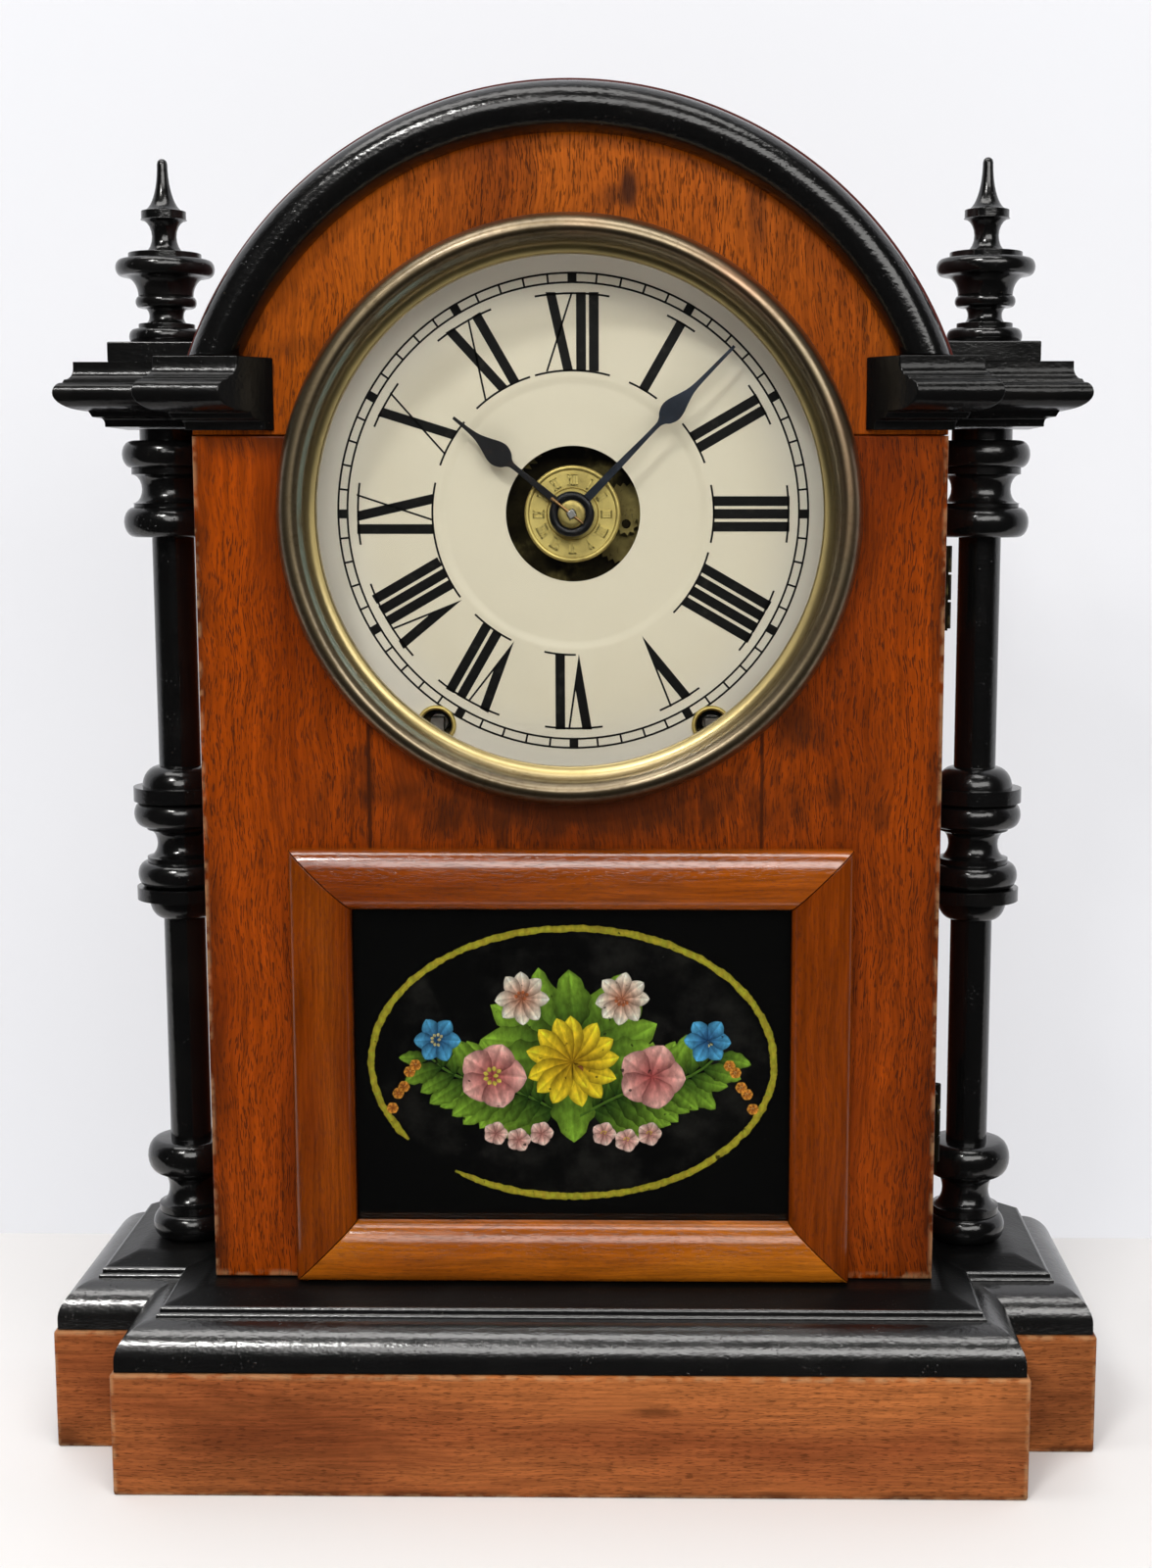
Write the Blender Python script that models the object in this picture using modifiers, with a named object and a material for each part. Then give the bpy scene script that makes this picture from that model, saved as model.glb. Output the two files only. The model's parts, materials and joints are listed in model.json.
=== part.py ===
"""Arched shelf clock: cased striking movement, hinged glazed front, side columns and finials.

Metres, +Z up. The front faces -Y and the origin is under the middle of the base.
"""
import math

import bmesh
import bpy
from mathutils import Matrix, Vector

# Running gap between pieces that touch
GAP = 0.0003

# Front door, in depth from its face
DOOR_SETBACK = 0.028
DOOR_THICKNESS = 0.016
ARCH_PANEL_SETBACK = 0.0012

# Depth of what stands behind the door
DIAL_GAP = 0.004
DIAL_SHEET = 0.0008
BOARD_THICKNESS = 0.004
MOTION_SPACE = 0.0079
PLATE_THICKNESS = 0.0014
PLATE_SPACING = 0.0226
BLOCK_THICKNESS = 0.0053
BACK_THICKNESS = 0.0057

DIAL_DEPTH = DOOR_THICKNESS + DIAL_GAP
BOARD_DEPTH = DIAL_DEPTH + DIAL_SHEET + GAP
FRONT_PLATE_DEPTH = BOARD_DEPTH + BOARD_THICKNESS + MOTION_SPACE
TRAIN_DEPTH = FRONT_PLATE_DEPTH + PLATE_THICKNESS
BACK_PLATE_DEPTH = TRAIN_DEPTH + PLATE_SPACING
BLOCK_DEPTH = BACK_PLATE_DEPTH + PLATE_THICKNESS + GAP
BACK_DEPTH = BLOCK_DEPTH + BLOCK_THICKNESS + GAP

# Base
BREAK_DEPTH = 0.030
BREAK_MARGIN = 0.023
WING_MARGIN = 0.0324
PLINTH_HEIGHT = 0.0335
MOULDING_HEIGHT = 0.0165
MOULDING_LEDGE = 0.001
THUMB_RUN = 0.0094
THUMB_RISE = 0.0125
FILLET_RISE = 0.0012
SLOPE_RUN = 0.0095

BASE_DEPTH = DOOR_SETBACK + BACK_DEPTH + BACK_THICKNESS
BASE_FRONT = -BASE_DEPTH / 2
BASE_BACK = BASE_DEPTH / 2
WING_FRONT = BASE_FRONT + BREAK_DEPTH
FACE = BASE_FRONT + DOOR_SETBACK
BASE_TOP = PLINTH_HEIGHT + GAP + MOULDING_HEIGHT

# Case
CASE_WIDTH = 0.196
SIDE_THICKNESS = 0.008
PANEL_HEIGHT = 0.2268
CAPITAL_SHADOW = 0.0014
CAPITAL_HEIGHT = 0.0185
SPRING_DROP = 0.0359
SHELL_OVERHANG = 0.0016
SHELL_THICKNESS = 0.008
ARCH_RIM = 0.001
ARCH_MOULD_WIDTH = 0.0124
ARCH_MOULD_RISE = 0.008

HALF_CASE = CASE_WIDTH / 2
CASE_BOTTOM = BASE_TOP + GAP
PANEL_TOP = CASE_BOTTOM + PANEL_HEIGHT
CAPITAL_BOTTOM = PANEL_TOP + CAPITAL_SHADOW
CAPITAL_TOP = CAPITAL_BOTTOM + CAPITAL_HEIGHT
ARCH_Z = CAPITAL_TOP - SPRING_DROP
SHELL_RADIUS = math.hypot(HALF_CASE + SHELL_OVERHANG, SPRING_DROP)
ARCH_MOULD_RADIUS = math.hypot(HALF_CASE, SPRING_DROP)
INNER_HALF = HALF_CASE - SIDE_THICKNESS

# Capitals, columns and finials
COLUMN_CAPITAL_HEIGHT = 0.0168
CAPITAL_HALF = 0.0128
CAPITAL_SIDE = 0.0147
CAPITAL_NOSE = 0.011
CAPITAL_CROWN = 0.0064
CAPITAL_STEP = 0.0027
DOOR_CAPITAL_STAND = 0.0015
DOOR_CAPITAL_LENGTH = 0.0207
DOOR_CAPITAL_SLANT = 0.88
COLUMN_GAP = 0.0004
COLUMN_RADIUS = 0.0058
HEAD_RADIUS = 0.0132
FINIAL_PLINTH_HALF = 0.0134
FINIAL_PLINTH_HEIGHT = 0.0054
TURNING_STEPS = 12

COLUMN_X = HALF_CASE + COLUMN_GAP + HEAD_RADIUS
COLUMN_Y = (WING_FRONT + BASE_BACK) / 2
HALF_BREAK = HALF_CASE + BREAK_MARGIN
HALF_BASE = COLUMN_X + WING_MARGIN

# Mouldings of a turning from the top down: kind, height, radius
COLUMN_HEAD = (
    ("fillet", 0.0031, 0.0083),
    ("bead", 0.0074, HEAD_RADIUS),
    ("fillet", 0.0017, 0.0108),
    ("cove", 0.0079, 0.0081),
    ("fillet", 0.0010, 0.0104),
    ("bead", 0.0082, HEAD_RADIUS),
)
COLUMN_MIDDLE = (
    ("dome", 0.0058, 0.0106),
    ("fillet", 0.0040, 0.0131),
    ("bead", 0.0072, 0.0131),
    ("fillet", 0.0009, 0.0097),
    ("cove", 0.0078, 0.0069),
    ("fillet", 0.0014, 0.0098),
    ("bead", 0.0070, 0.0125),
    ("fillet", 0.0036, 0.0129),
    ("cup", 0.0056, 0.0096),
)
COLUMN_FOOT = (
    ("bead", 0.0098, 0.0124),
    ("cove", 0.0094, 0.0066),
    ("fillet", 0.0020, 0.0095),
    ("bead", 0.0078, 0.0114),
)
FINIAL = (
    ("spike", 0.0138, 0.0057),
    ("fillet", 0.0023, 0.0060),
    ("cove", 0.0089, 0.0033),
    ("fillet", 0.0017, 0.0098),
    ("bead", 0.0045, 0.0133),
    ("bell", 0.0052, 0.0113),
    ("bead", 0.0031, 0.0082),
    ("cove", 0.0043, 0.0046),
    ("fillet", 0.0014, 0.0076),
    ("bead", 0.0041, 0.0102),
)
SPIKE_TIP = 0.0014
COLUMN_MIDDLE_DROP = 0.0929

# Dial, bezel and painted glass
DIAL_DROP = 0.0041
DIAL_RADIUS = 0.0775
DIAL_EYE = 0.0181
BEZEL_RADIUS = 0.076
BEZEL_SIGHT = 0.066
BEZEL_RISE = 0.0085
BEZEL_EDGE = 0.0016
BEZEL_CREST = 0.0006
BEZEL_LIP = 0.0012
BEZEL_WALL = 0.0015
BEZEL_SLEEVE = 0.0075
OPENING_RADIUS = 0.070
GLASS_THICKNESS = 0.0018
RAIL_WIDTH = 0.0162
RAIL_EDGE = 0.0032
RAIL_CROWN = 0.0066
RAIL_LIP = 0.0016
RAIL_RISE = 0.0003
FRAME_MARGIN = 0.0231
TABLET_HEIGHT = 0.0862
GLASS_REBATE = 0.0024
GLASS_SET = 0.0004

TABLET_WIDTH = CASE_WIDTH - 2 * (FRAME_MARGIN + RAIL_WIDTH)
DIAL_Z = ARCH_Z - DIAL_DROP
TABLET_Z = CASE_BOTTOM + RAIL_RISE + RAIL_WIDTH + TABLET_HEIGHT / 2

# Hinges
HINGE_HEIGHT = 0.022
HINGE_INSET = 0.0395
LEAF_WIDTH = 0.009
LEAF_THICKNESS = 0.001
KNUCKLE_RADIUS = 0.0016
PIN_RADIUS = 0.0008
DOOR_OPEN = math.radians(58)

HINGE_X = HALF_CASE + GAP + KNUCKLE_RADIUS
HINGE_Y = FACE + DOOR_THICKNESS + GAP / 2

# Movement, measured from the dial centre
ARBOR_RADIUS = 0.001
WINDING_X = 0.0375
WINDING_DROP = 0.057
WINDING_RADIUS = 0.0024
WINDING_SQUARE = 0.0034
WINDING_REACH = 0.0014
WINDING_SHOULDER = 0.002
RATCHET_TEETH = 14
RATCHET_RADIUS = 0.008
RATCHET_NOTCH = 0.0014
RATCHET_THICKNESS = 0.001
GROMMET_RADIUS = 0.0054
GROMMET_HOLE = 0.0042
PENDULUM_X = -0.020
PENDULUM_LENGTH = 0.1726
SUSPENSION_RISE = 0.0485
VERGE_RISE = 0.0395
ESCAPE_RISE = 0.022
ESCAPE_RADIUS = 0.013
ROD_RADIUS = 0.0007
ROD_DEPTH = BOARD_DEPTH + BOARD_THICKNESS + 0.0013
BOB_RADIUS = 0.019
BOB_THICKNESS = 0.009
BOB_RIM = 0.0006
NUT_RADIUS = 0.0028
NUT_HEIGHT = 0.003
POST_HALF = 0.003
POST_FOOT = 0.0008
POST_HEAD = 0.0042
STUD_LENGTH = 0.0054
PLATE_MARGIN = 0.0045
PILLAR_RADIUS = 0.0025
PILLAR_INSET = 0.006

PLATE_TOP = SUSPENSION_RISE + PLATE_MARGIN
PILLAR_TOP = PLATE_TOP - PILLAR_INSET
PILLARS = ((-0.014, -0.086), (-0.054, 0.002), (0.054, 0.002), (-0.040, PILLAR_TOP), (0.040, PILLAR_TOP))
PLATE_OUTLINE = (
    (-0.060, -0.064), (-0.026, -0.091), (0.010, -0.091), (0.060, -0.064),
    (0.060, 0.010), (0.046, PLATE_TOP), (-0.046, PLATE_TOP), (-0.060, 0.010),
)

# Toothed wheels: teeth and module of each meshing pair
ADDENDUM = 0.65
DEDENDUM = 1.05
GREAT_TEETH = 48
GREAT_PINION = 8
GREAT_MODULE = 0.0012
SECOND_TEETH = 40
CENTRE_PINION = 8
SECOND_MODULE = 0.00147
CENTRE_TEETH = 72
THIRD_PINION = 6
CENTRE_MODULE = 0.00062
THIRD_TEETH = 60
ESCAPE_PINION = 6
THIRD_MODULE = 0.0006
ESCAPE_TEETH = 36
CANNON_TEETH = 12
MINUTE_TEETH = 36
MINUTE_MODULE = 0.0006
MINUTE_PINION = 10
MINUTE_ARBOR_ANGLE = math.radians(-11)
HOUR_TEETH = 40
FLY_TEETH = 45
FLY_PINION = 6
FLY_MODULE = 0.0008
WHEEL_THICKNESS = 0.0012
PINION_LENGTH = 0.0028

# Planes of the trains, in depth behind the front plate
GREAT_PLANE = 0.0024
RATCHET_PLANE = 0.0040
SECOND_PLANE = 0.0055
TAIL_PLANE = 0.0081
SPRING_FRONT = 0.0098
CENTRE_PLANE = 0.0102
THIRD_PLANE = 0.0162
FLY_PLANE = 0.0168
SPRING_BACK_CLEARANCE = 0.003

# Planes of the motion work and hands, in depth before the front plate or the dial
CANNON_PLANE = 0.0014
HOUR_PLANE = 0.0038
ESCAPE_PLANE = 0.0034
CRUTCH_PLANE = 0.0051
ALARM_RISE = 0.0025
HOUR_HAND_RISE = 0.005
MINUTE_HAND_RISE = 0.0076
WASHER_RISE = 0.0087
ARBOR_TIP_RISE = 0.0098
HAND_SHEET = 0.0008
PIPE_RADIUS = 0.0032
PIPE_BORE = 0.0019
ALARM_RADIUS = 0.0129
WASHER_RADIUS = 0.00375

# Hands: hub radius, then distance from the centre and half width of each station
MINUTE_ANGLE = math.radians(-44.5)
HOUR_ANGLE = math.radians(51.2)
MINUTE_HUB = 0.006
HOUR_HUB = 0.0053
MINUTE_STATIONS = (
    (0.029, 0.0010), (0.0335, 0.0020), (0.0375, 0.0030), (0.0405, 0.0024),
    (0.0435, 0.0011), (0.0605, 0.0002),
)
HOUR_STATIONS = (
    (0.0165, 0.0011), (0.021, 0.0024), (0.0245, 0.0033), (0.0275, 0.0024),
    (0.0305, 0.0011), (0.0405, 0.0002),
)
HAND_ROOT = 0.0008

# Strike work and gong
PIN_ARBOR_ANGLE = math.radians(80)
FLY_ARBOR_ANGLE = math.radians(120)
PIN_COUNT = 8
PIN_CIRCLE = 0.014
FLY_SPAN = 0.026
HAMMER_DROP = 0.070
HAMMER_TAIL = 0.044
HAMMER_TAIL_ANGLE = math.radians(57.5)
HAMMER_LENGTH = 0.080
HAMMER_WIRE = 0.0009
HAMMER_HEAD = 0.0038
GONG_WIRE = 0.0011
GONG_RADIUS = 0.029
GONG_TURNS = 4
GONG_STANDOFF = 0.013
GONG_POST = 0.003
SPRING_TURNS = 5
SPRING_RADIUS = 0.021
SPRING_STRIP = 0.0007

# Turn of a rod's corners off the axes, so that they meet no corner of a wheel
ROD_TURN = math.radians(7)

# Finishes: colour, roughness, metallic
WALNUT = ((0.33, 0.10, 0.025), 0.42, 0.0)
PINE = ((0.42, 0.25, 0.11), 0.7, 0.0)
BLACK = ((0.008, 0.008, 0.009), 0.22, 0.0)
BRASS = ((0.55, 0.42, 0.14), 0.3, 1.0)
AGED_BRASS = ((0.30, 0.24, 0.12), 0.35, 1.0)
STEEL = ((0.35, 0.35, 0.37), 0.35, 1.0)
BLUED_STEEL = ((0.01, 0.012, 0.018), 0.35, 0.6)
CREAM = ((0.80, 0.76, 0.66), 0.5, 0.0)
PAINTED_GLASS = ((0.006, 0.006, 0.006), 0.1, 0.0)
CLEAR_GLASS = ((0.9, 0.92, 0.9), 0.05, 0.0)


# Objects and scene

def clear_scene():
    """Remove what the scene holds and make the two collections."""
    for item in list(bpy.data.objects):
        bpy.data.objects.remove(item, do_unlink=True)
    for name in ("shelf_clock", "cutters"):
        group = bpy.data.collections.get(name)
        if group is None:
            group = bpy.data.collections.new(name)
            bpy.context.scene.collection.children.link(group)


def material(name, finish):
    """A Principled BSDF of one colour, roughness and metallic value."""
    colour, roughness, metallic = finish
    made = bpy.data.materials.new(name)
    made.use_nodes = True
    shader = made.node_tree.nodes["Principled BSDF"]
    shader.inputs["Base Color"].default_value = (*colour, 1.0)
    shader.inputs["Roughness"].default_value = roughness
    shader.inputs["Metallic"].default_value = metallic
    return made


def part(name, mesh, finish, location=(0, 0, 0), facing="up"):
    """A named piece. Facing front turns its local XY plane to the clock's front."""
    piece = bpy.data.objects.new(name, mesh)
    bpy.data.collections["shelf_clock"].objects.link(piece)
    piece.data.materials.append(material(name, finish))
    piece.location = location
    if facing == "front":
        piece.rotation_euler = (math.pi / 2, 0, 0)
    return piece


def helper(mesh, like, offset=(0, 0, 0)):
    """A piece to cut from or join to another, placed in that one's own axes."""
    piece = bpy.data.objects.new(like.name + "_helper", mesh)
    bpy.data.collections["cutters"].objects.link(piece)
    piece.hide_render = True
    piece.display_type = "WIRE"
    piece.rotation_euler = like.rotation_euler
    turn = like.rotation_euler.to_matrix()
    piece.location = Vector(like.location) + turn @ Vector(offset)
    return piece


def combine(target, operation, mesh, offset=(0, 0, 0), turning_steps=0):
    """Join a mesh to a piece or cut it away, placed in the piece's own axes."""
    other = helper(mesh, target, offset)
    if turning_steps:
        turn(other, turning_steps)
    step = target.modifiers.new(operation.title(), "BOOLEAN")
    step.operation = operation
    step.solver = "EXACT"
    step.object = other


def turn(piece, steps=TURNING_STEPS):
    """Spin a profile about the piece's own Z axis."""
    spin = piece.modifiers.new("Turning", "SCREW")
    spin.axis = "Z"
    spin.angle = math.tau
    spin.steps = steps
    spin.render_steps = steps
    spin.use_merge_vertices = True
    spin.merge_threshold = 0.00001
    spin.use_smooth_shade = True


# Meshes

def mesh_from(bm, name):
    """Close a bmesh into mesh data with smooth round stretches."""
    mesh = bpy.data.meshes.new(name)
    bm.to_mesh(mesh)
    bm.free()
    mesh.shade_smooth()
    mesh.set_sharp_from_angle(angle=math.radians(35))
    return mesh


def box(name, low, high):
    """A box between two corners."""
    bm = bmesh.new()
    bmesh.ops.create_cube(bm, size=1)
    low = Vector(low)
    high = Vector(high)
    for vert in bm.verts:
        vert.co = low + Vector((vert.co[i] + 0.5) * (high[i] - low[i]) for i in range(3))
    return mesh_from(bm, name)


def rod(name, radius, length, sides=10):
    """A solid rod along Z, centred on the origin."""
    bm = bmesh.new()
    bmesh.ops.create_cone(bm, cap_ends=True, segments=sides, radius1=radius, radius2=radius,
                          depth=length, matrix=Matrix.Rotation(ROD_TURN, 4, "Z"))
    return mesh_from(bm, name)


def ring_of_pins(name, radius, length):
    """Short pins standing round a circle."""
    bm = bmesh.new()
    for i in range(PIN_COUNT):
        angle = math.tau * (i + 0.5) / PIN_COUNT
        place = Matrix.Translation((PIN_CIRCLE * math.cos(angle), PIN_CIRCLE * math.sin(angle), 0))
        bmesh.ops.create_cone(bm, cap_ends=True, segments=6, radius1=radius, radius2=radius,
                              depth=length, matrix=place)
    return mesh_from(bm, name)


def ball(name, radius):
    """A solid ball."""
    bm = bmesh.new()
    bmesh.ops.create_uvsphere(bm, u_segments=12, v_segments=8, radius=radius)
    return mesh_from(bm, name)


def curve_mesh(name, curve):
    """The welded mesh of a curve."""
    holder = bpy.data.objects.new(name, curve)
    bpy.data.collections["cutters"].objects.link(holder)
    graph = bpy.context.evaluated_depsgraph_get()
    mesh = bpy.data.meshes.new_from_object(holder.evaluated_get(graph))
    bpy.data.objects.remove(holder, do_unlink=True)
    bpy.data.curves.remove(curve)
    bm = bmesh.new()
    bm.from_mesh(mesh)
    bmesh.ops.remove_doubles(bm, verts=bm.verts, dist=0.000002)
    bmesh.ops.recalc_face_normals(bm, faces=bm.faces)
    bpy.data.meshes.remove(mesh)
    return mesh_from(bm, name)


def add_spline(curve, points, closed):
    """A straight-sided spline through points."""
    spline = curve.splines.new("POLY")
    spline.points.add(len(points) - 1)
    for knot, place in zip(spline.points, points):
        knot.co = (*place, *((0,) * (3 - len(place))), 1)
    spline.use_cyclic_u = closed


def slab(name, outlines, thickness):
    """A flat outline, and any holes in it, given a thickness about its own plane."""
    curve = bpy.data.curves.new(name, "CURVE")
    curve.dimensions = "2D"
    curve.fill_mode = "BOTH"
    curve.extrude = thickness / 2
    for outline in outlines:
        add_spline(curve, outline, True)
    return curve_mesh(name, curve)


def wire(name, points, radius, resolution=1):
    """A round wire with closed ends along points."""
    curve = bpy.data.curves.new(name, "CURVE")
    curve.dimensions = "3D"
    curve.bevel_depth = radius
    curve.bevel_resolution = resolution
    curve.use_fill_caps = True
    add_spline(curve, points, False)
    return curve_mesh(name, curve)


def profile(name, points, closed=False):
    """The edges of a turned piece, running down its outer side."""
    bm = bmesh.new()
    verts = [bm.verts.new((radius, 0, height)) for radius, height in points]
    pairs = list(zip(verts, verts[1:]))
    if closed:
        pairs.append((verts[-1], verts[0]))
    for pair in pairs:
        bm.edges.new(pair)
    mesh = bpy.data.meshes.new(name)
    bm.to_mesh(mesh)
    bm.free()
    return mesh


def loft(name, rings):
    """A closed skin over rings of as many points each, capped at both ends."""
    bm = bmesh.new()
    loops = [[bm.verts.new(place) for place in ring] for ring in rings]
    for lower, upper in zip(loops, loops[1:]):
        for i in range(len(lower)):
            j = (i + 1) % len(lower)
            bm.faces.new((lower[i], lower[j], upper[j], upper[i]))
    bm.faces.new(loops[0])
    bm.faces.new(loops[-1])
    bmesh.ops.recalc_face_normals(bm, faces=bm.faces)
    return mesh_from(bm, name)


# Outlines

def arc(centre, radius, start, end, count):
    """Points along an arc, angles in radians."""
    step = (end - start) / (count - 1)
    angles = [start + step * i for i in range(count)]
    return [(centre[0] + radius * math.cos(a), centre[1] + radius * math.sin(a)) for a in angles]


def circle(radius, count=12, centre=(0, 0)):
    """Points round a circle."""
    return arc(centre, radius, 0, math.tau, count + 1)[:-1]


def quarter(start, end, count, bulge_first):
    """Points of a quarter ellipse from start to end, both in one plane."""
    points = []
    for i in range(1, count + 1):
        t = i / count * math.pi / 2
        across, along = math.sin(t), 1 - math.cos(t)
        if not bulge_first:
            across, along = along, across
        points.append((start[0] + (end[0] - start[0]) * across,
                       start[1] + (end[1] - start[1]) * along))
    return points


def gear(teeth, module, phase=0.0):
    """Outline of a toothed wheel with one tooth at the phase angle."""
    pitch = math.tau / teeth
    tip = module * (teeth / 2 + ADDENDUM)
    root = module * (teeth / 2 - DEDENDUM)
    outline = []
    for i in range(teeth):
        middle = phase + i * pitch
        for offset, radius in ((0, tip), (pitch / 2, root)):
            angle = middle + offset
            outline.append((radius * math.cos(angle), radius * math.sin(angle)))
    return outline


def crossings(inner, outer, count, spoke):
    """Openings between the spokes of a wheel."""
    holes = []
    for i in range(count):
        start = math.tau * i / count
        end = start + math.tau / count
        outer_edge = arc((0, 0), outer, start + spoke / outer, end - spoke / outer, 4)
        inner_edge = arc((0, 0), inner, end - spoke / inner, start + spoke / inner, 2)
        holes.append(outer_edge + inner_edge)
    return holes


def pair_distance(teeth, leaves, module):
    """Distance between two meshing arbors."""
    return module * (teeth + leaves) / 2


def reach(first, first_distance, second, second_distance, side):
    """The point at given distances from two others, on one side of their line."""
    a = Vector(first)
    b = Vector(second)
    span = (b - a).length
    along = (first_distance ** 2 - second_distance ** 2 + span ** 2) / (2 * span)
    off = math.sqrt(max(first_distance ** 2 - along ** 2, 0)) * side
    direction = (b - a) / span
    found = a + direction * along + Vector((-direction.y, direction.x)) * off
    return found.x, found.y


def bearing(start, end):
    """Angle of the line from one arbor to another."""
    return math.atan2(end[1] - start[1], end[0] - start[0])


def gap_phase(leaves, angle):
    """Phase that puts a gap between leaves at an angle."""
    return angle + math.pi / leaves


# Turnings

def turned_profile(mouldings, top, radius_before):
    """Points down the outer side of a run of mouldings."""
    points = []
    height = top
    radius = radius_before
    for kind, drop, size in mouldings:
        low = height - drop
        depth = min(drop * 0.35, 0.003)
        if kind == "fillet":
            run = [(size, height), (size, low)]
        elif kind == "bead":
            run = [(size - depth * (1 - math.sin(t)), height - drop * (1 - math.cos(t)) / 2)
                   for t in (0, math.pi * 0.35, math.pi * 0.65, math.pi)]
        elif kind == "cove":
            run = [(size + depth * (1 - math.sin(t)), height - drop * (1 - math.cos(t)) / 2)
                   for t in (0, math.pi * 0.33, math.pi * 0.67, math.pi)]
        elif kind == "dome":
            run = quarter((radius, height), (size, low), 3, True)
        elif kind == "cup":
            run = [(size, height)] + quarter((size, height), (COLUMN_RADIUS, low), 3, False)
        elif kind == "bell":
            run = [(size, height)] + quarter((size, height), (size - drop * 0.75, low), 3, True)
        else:
            run = [(0, height), (SPIKE_TIP * 0.7, height - SPIKE_TIP * 0.3),
                   (SPIKE_TIP, height - SPIKE_TIP)]
            run += quarter((SPIKE_TIP, height - SPIKE_TIP), (size, low), 5, False)
        points += run
        height = low
        radius = points[-1][0]
    return points


def height_of(mouldings):
    """Total height of a run of mouldings."""
    return sum(drop for kind, drop, size in mouldings)


def distinct(points):
    """The points with repeats left out."""
    kept = [points[0]]
    for place in points[1:]:
        if math.dist(place, kept[-1]) > 0.00005:
            kept.append(place)
    return kept


def make_column(name, side):
    """A turned column from the base to the capital."""
    bottom = BASE_TOP + GAP
    top = CAPITAL_TOP - COLUMN_CAPITAL_HEIGHT - GAP
    middle = top - COLUMN_MIDDLE_DROP
    points = [(0, top)]
    points += turned_profile(COLUMN_HEAD, top, 0)
    points += [(COLUMN_RADIUS, top - height_of(COLUMN_HEAD)), (COLUMN_RADIUS, middle)]
    points += turned_profile(COLUMN_MIDDLE, middle, COLUMN_RADIUS)
    points.append((COLUMN_RADIUS, bottom + height_of(COLUMN_FOOT)))
    points += turned_profile(COLUMN_FOOT, bottom + height_of(COLUMN_FOOT), COLUMN_RADIUS)
    points.append((0, bottom))
    turn(part(name, profile(name, distinct(points)), BLACK, (side * COLUMN_X, COLUMN_Y, 0)))


def make_finial(name, side):
    """A turned finial on its square plinth."""
    plinth_bottom = CAPITAL_TOP + GAP
    plinth_top = plinth_bottom + FINIAL_PLINTH_HEIGHT
    tip = plinth_top + height_of(FINIAL)
    points = turned_profile(FINIAL, tip, 0)
    points.append((0, plinth_top - FINIAL_PLINTH_HEIGHT / 2))
    finial = part(name, profile(name, distinct(points)), BLACK, (side * COLUMN_X, COLUMN_Y, 0))
    turn(finial)
    half = FINIAL_PLINTH_HALF
    inner = min(half, COLUMN_X - HALF_CASE - SHELL_OVERHANG - GAP)
    edges = sorted((-side * inner, side * half))
    plinth = box(name, (edges[0], -half, plinth_bottom), (edges[1], half, plinth_top))
    combine(finial, "UNION", plinth)


# Base

def base_outline(inset, height):
    """The stepped plan of the base, drawn in on the front and sides."""
    wing = HALF_BASE - inset
    middle = HALF_BREAK - inset
    wing_front = WING_FRONT + inset
    front = BASE_FRONT + inset
    right = [(middle, front), (middle, wing_front), (wing, wing_front), (wing, BASE_BACK)]
    left = [(-x, y) for x, y in reversed(right)]
    return [(x, y, height) for x, y in right + left]


def make_base():
    """The walnut plinth and the black moulding on it."""
    plinth = loft("base_plinth", [base_outline(0, 0), base_outline(0, PLINTH_HEIGHT)])
    part("base_plinth", plinth, WALNUT)
    bottom = PLINTH_HEIGHT + GAP
    thumb = (MOULDING_LEDGE, bottom + MOULDING_HEIGHT - THUMB_RISE - FILLET_RISE)
    shoulder = (MOULDING_LEDGE + THUMB_RUN, bottom + THUMB_RISE)
    steps = [(MOULDING_LEDGE, bottom)] + [thumb] + quarter(thumb, shoulder, 6, False)
    groove = (shoulder[0], shoulder[1] + FILLET_RISE)
    slope_end = (groove[0] + SLOPE_RUN, BASE_TOP)
    steps += [groove] + quarter(groove, slope_end, 3, True)
    rings = [base_outline(inset, height) for inset, height in distinct(steps)]
    part("base_moulding", loft("base_moulding", rings), BLACK)


# Case

def make_case():
    """Sides, arched top, back and the board that carries the dial."""
    front = FACE + DOOR_THICKNESS + GAP
    back = FACE + BACK_DEPTH - GAP
    for name, side in (("case_side_left", -1), ("case_side_right", 1)):
        edges = sorted((side * INNER_HALF, side * HALF_CASE))
        mesh = box(name, (edges[0], front, CASE_BOTTOM), (edges[1], back, CAPITAL_TOP))
        part(name, mesh, WALNUT)

    bottom = CAPITAL_TOP + GAP - ARCH_Z
    inner = SHELL_RADIUS - SHELL_THICKNESS
    start = math.asin(bottom / SHELL_RADIUS)
    inner_start = math.asin(bottom / inner)
    ring = arc((0, 0), SHELL_RADIUS, start, math.pi - start, 25)
    ring += arc((0, 0), inner, math.pi - inner_start, inner_start, 25)
    middle = (front + back) / 2
    shell = slab("arch_shell", [ring], back - front)
    part("arch_shell", shell, WALNUT, (0, middle, ARCH_Z), "front")

    radius = ARCH_MOULD_RADIUS
    spring = math.asin(SPRING_DROP / radius)
    outline = [(-HALF_CASE, CASE_BOTTOM - ARCH_Z), (HALF_CASE, CASE_BOTTOM - ARCH_Z)]
    outline += arc((0, 0), radius, spring, math.pi - spring, 25)
    board = slab("back_board", [outline], BACK_THICKNESS)
    part("back_board", board, PINE, (0, FACE + BACK_DEPTH + BACK_THICKNESS / 2, ARCH_Z), "front")


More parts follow.
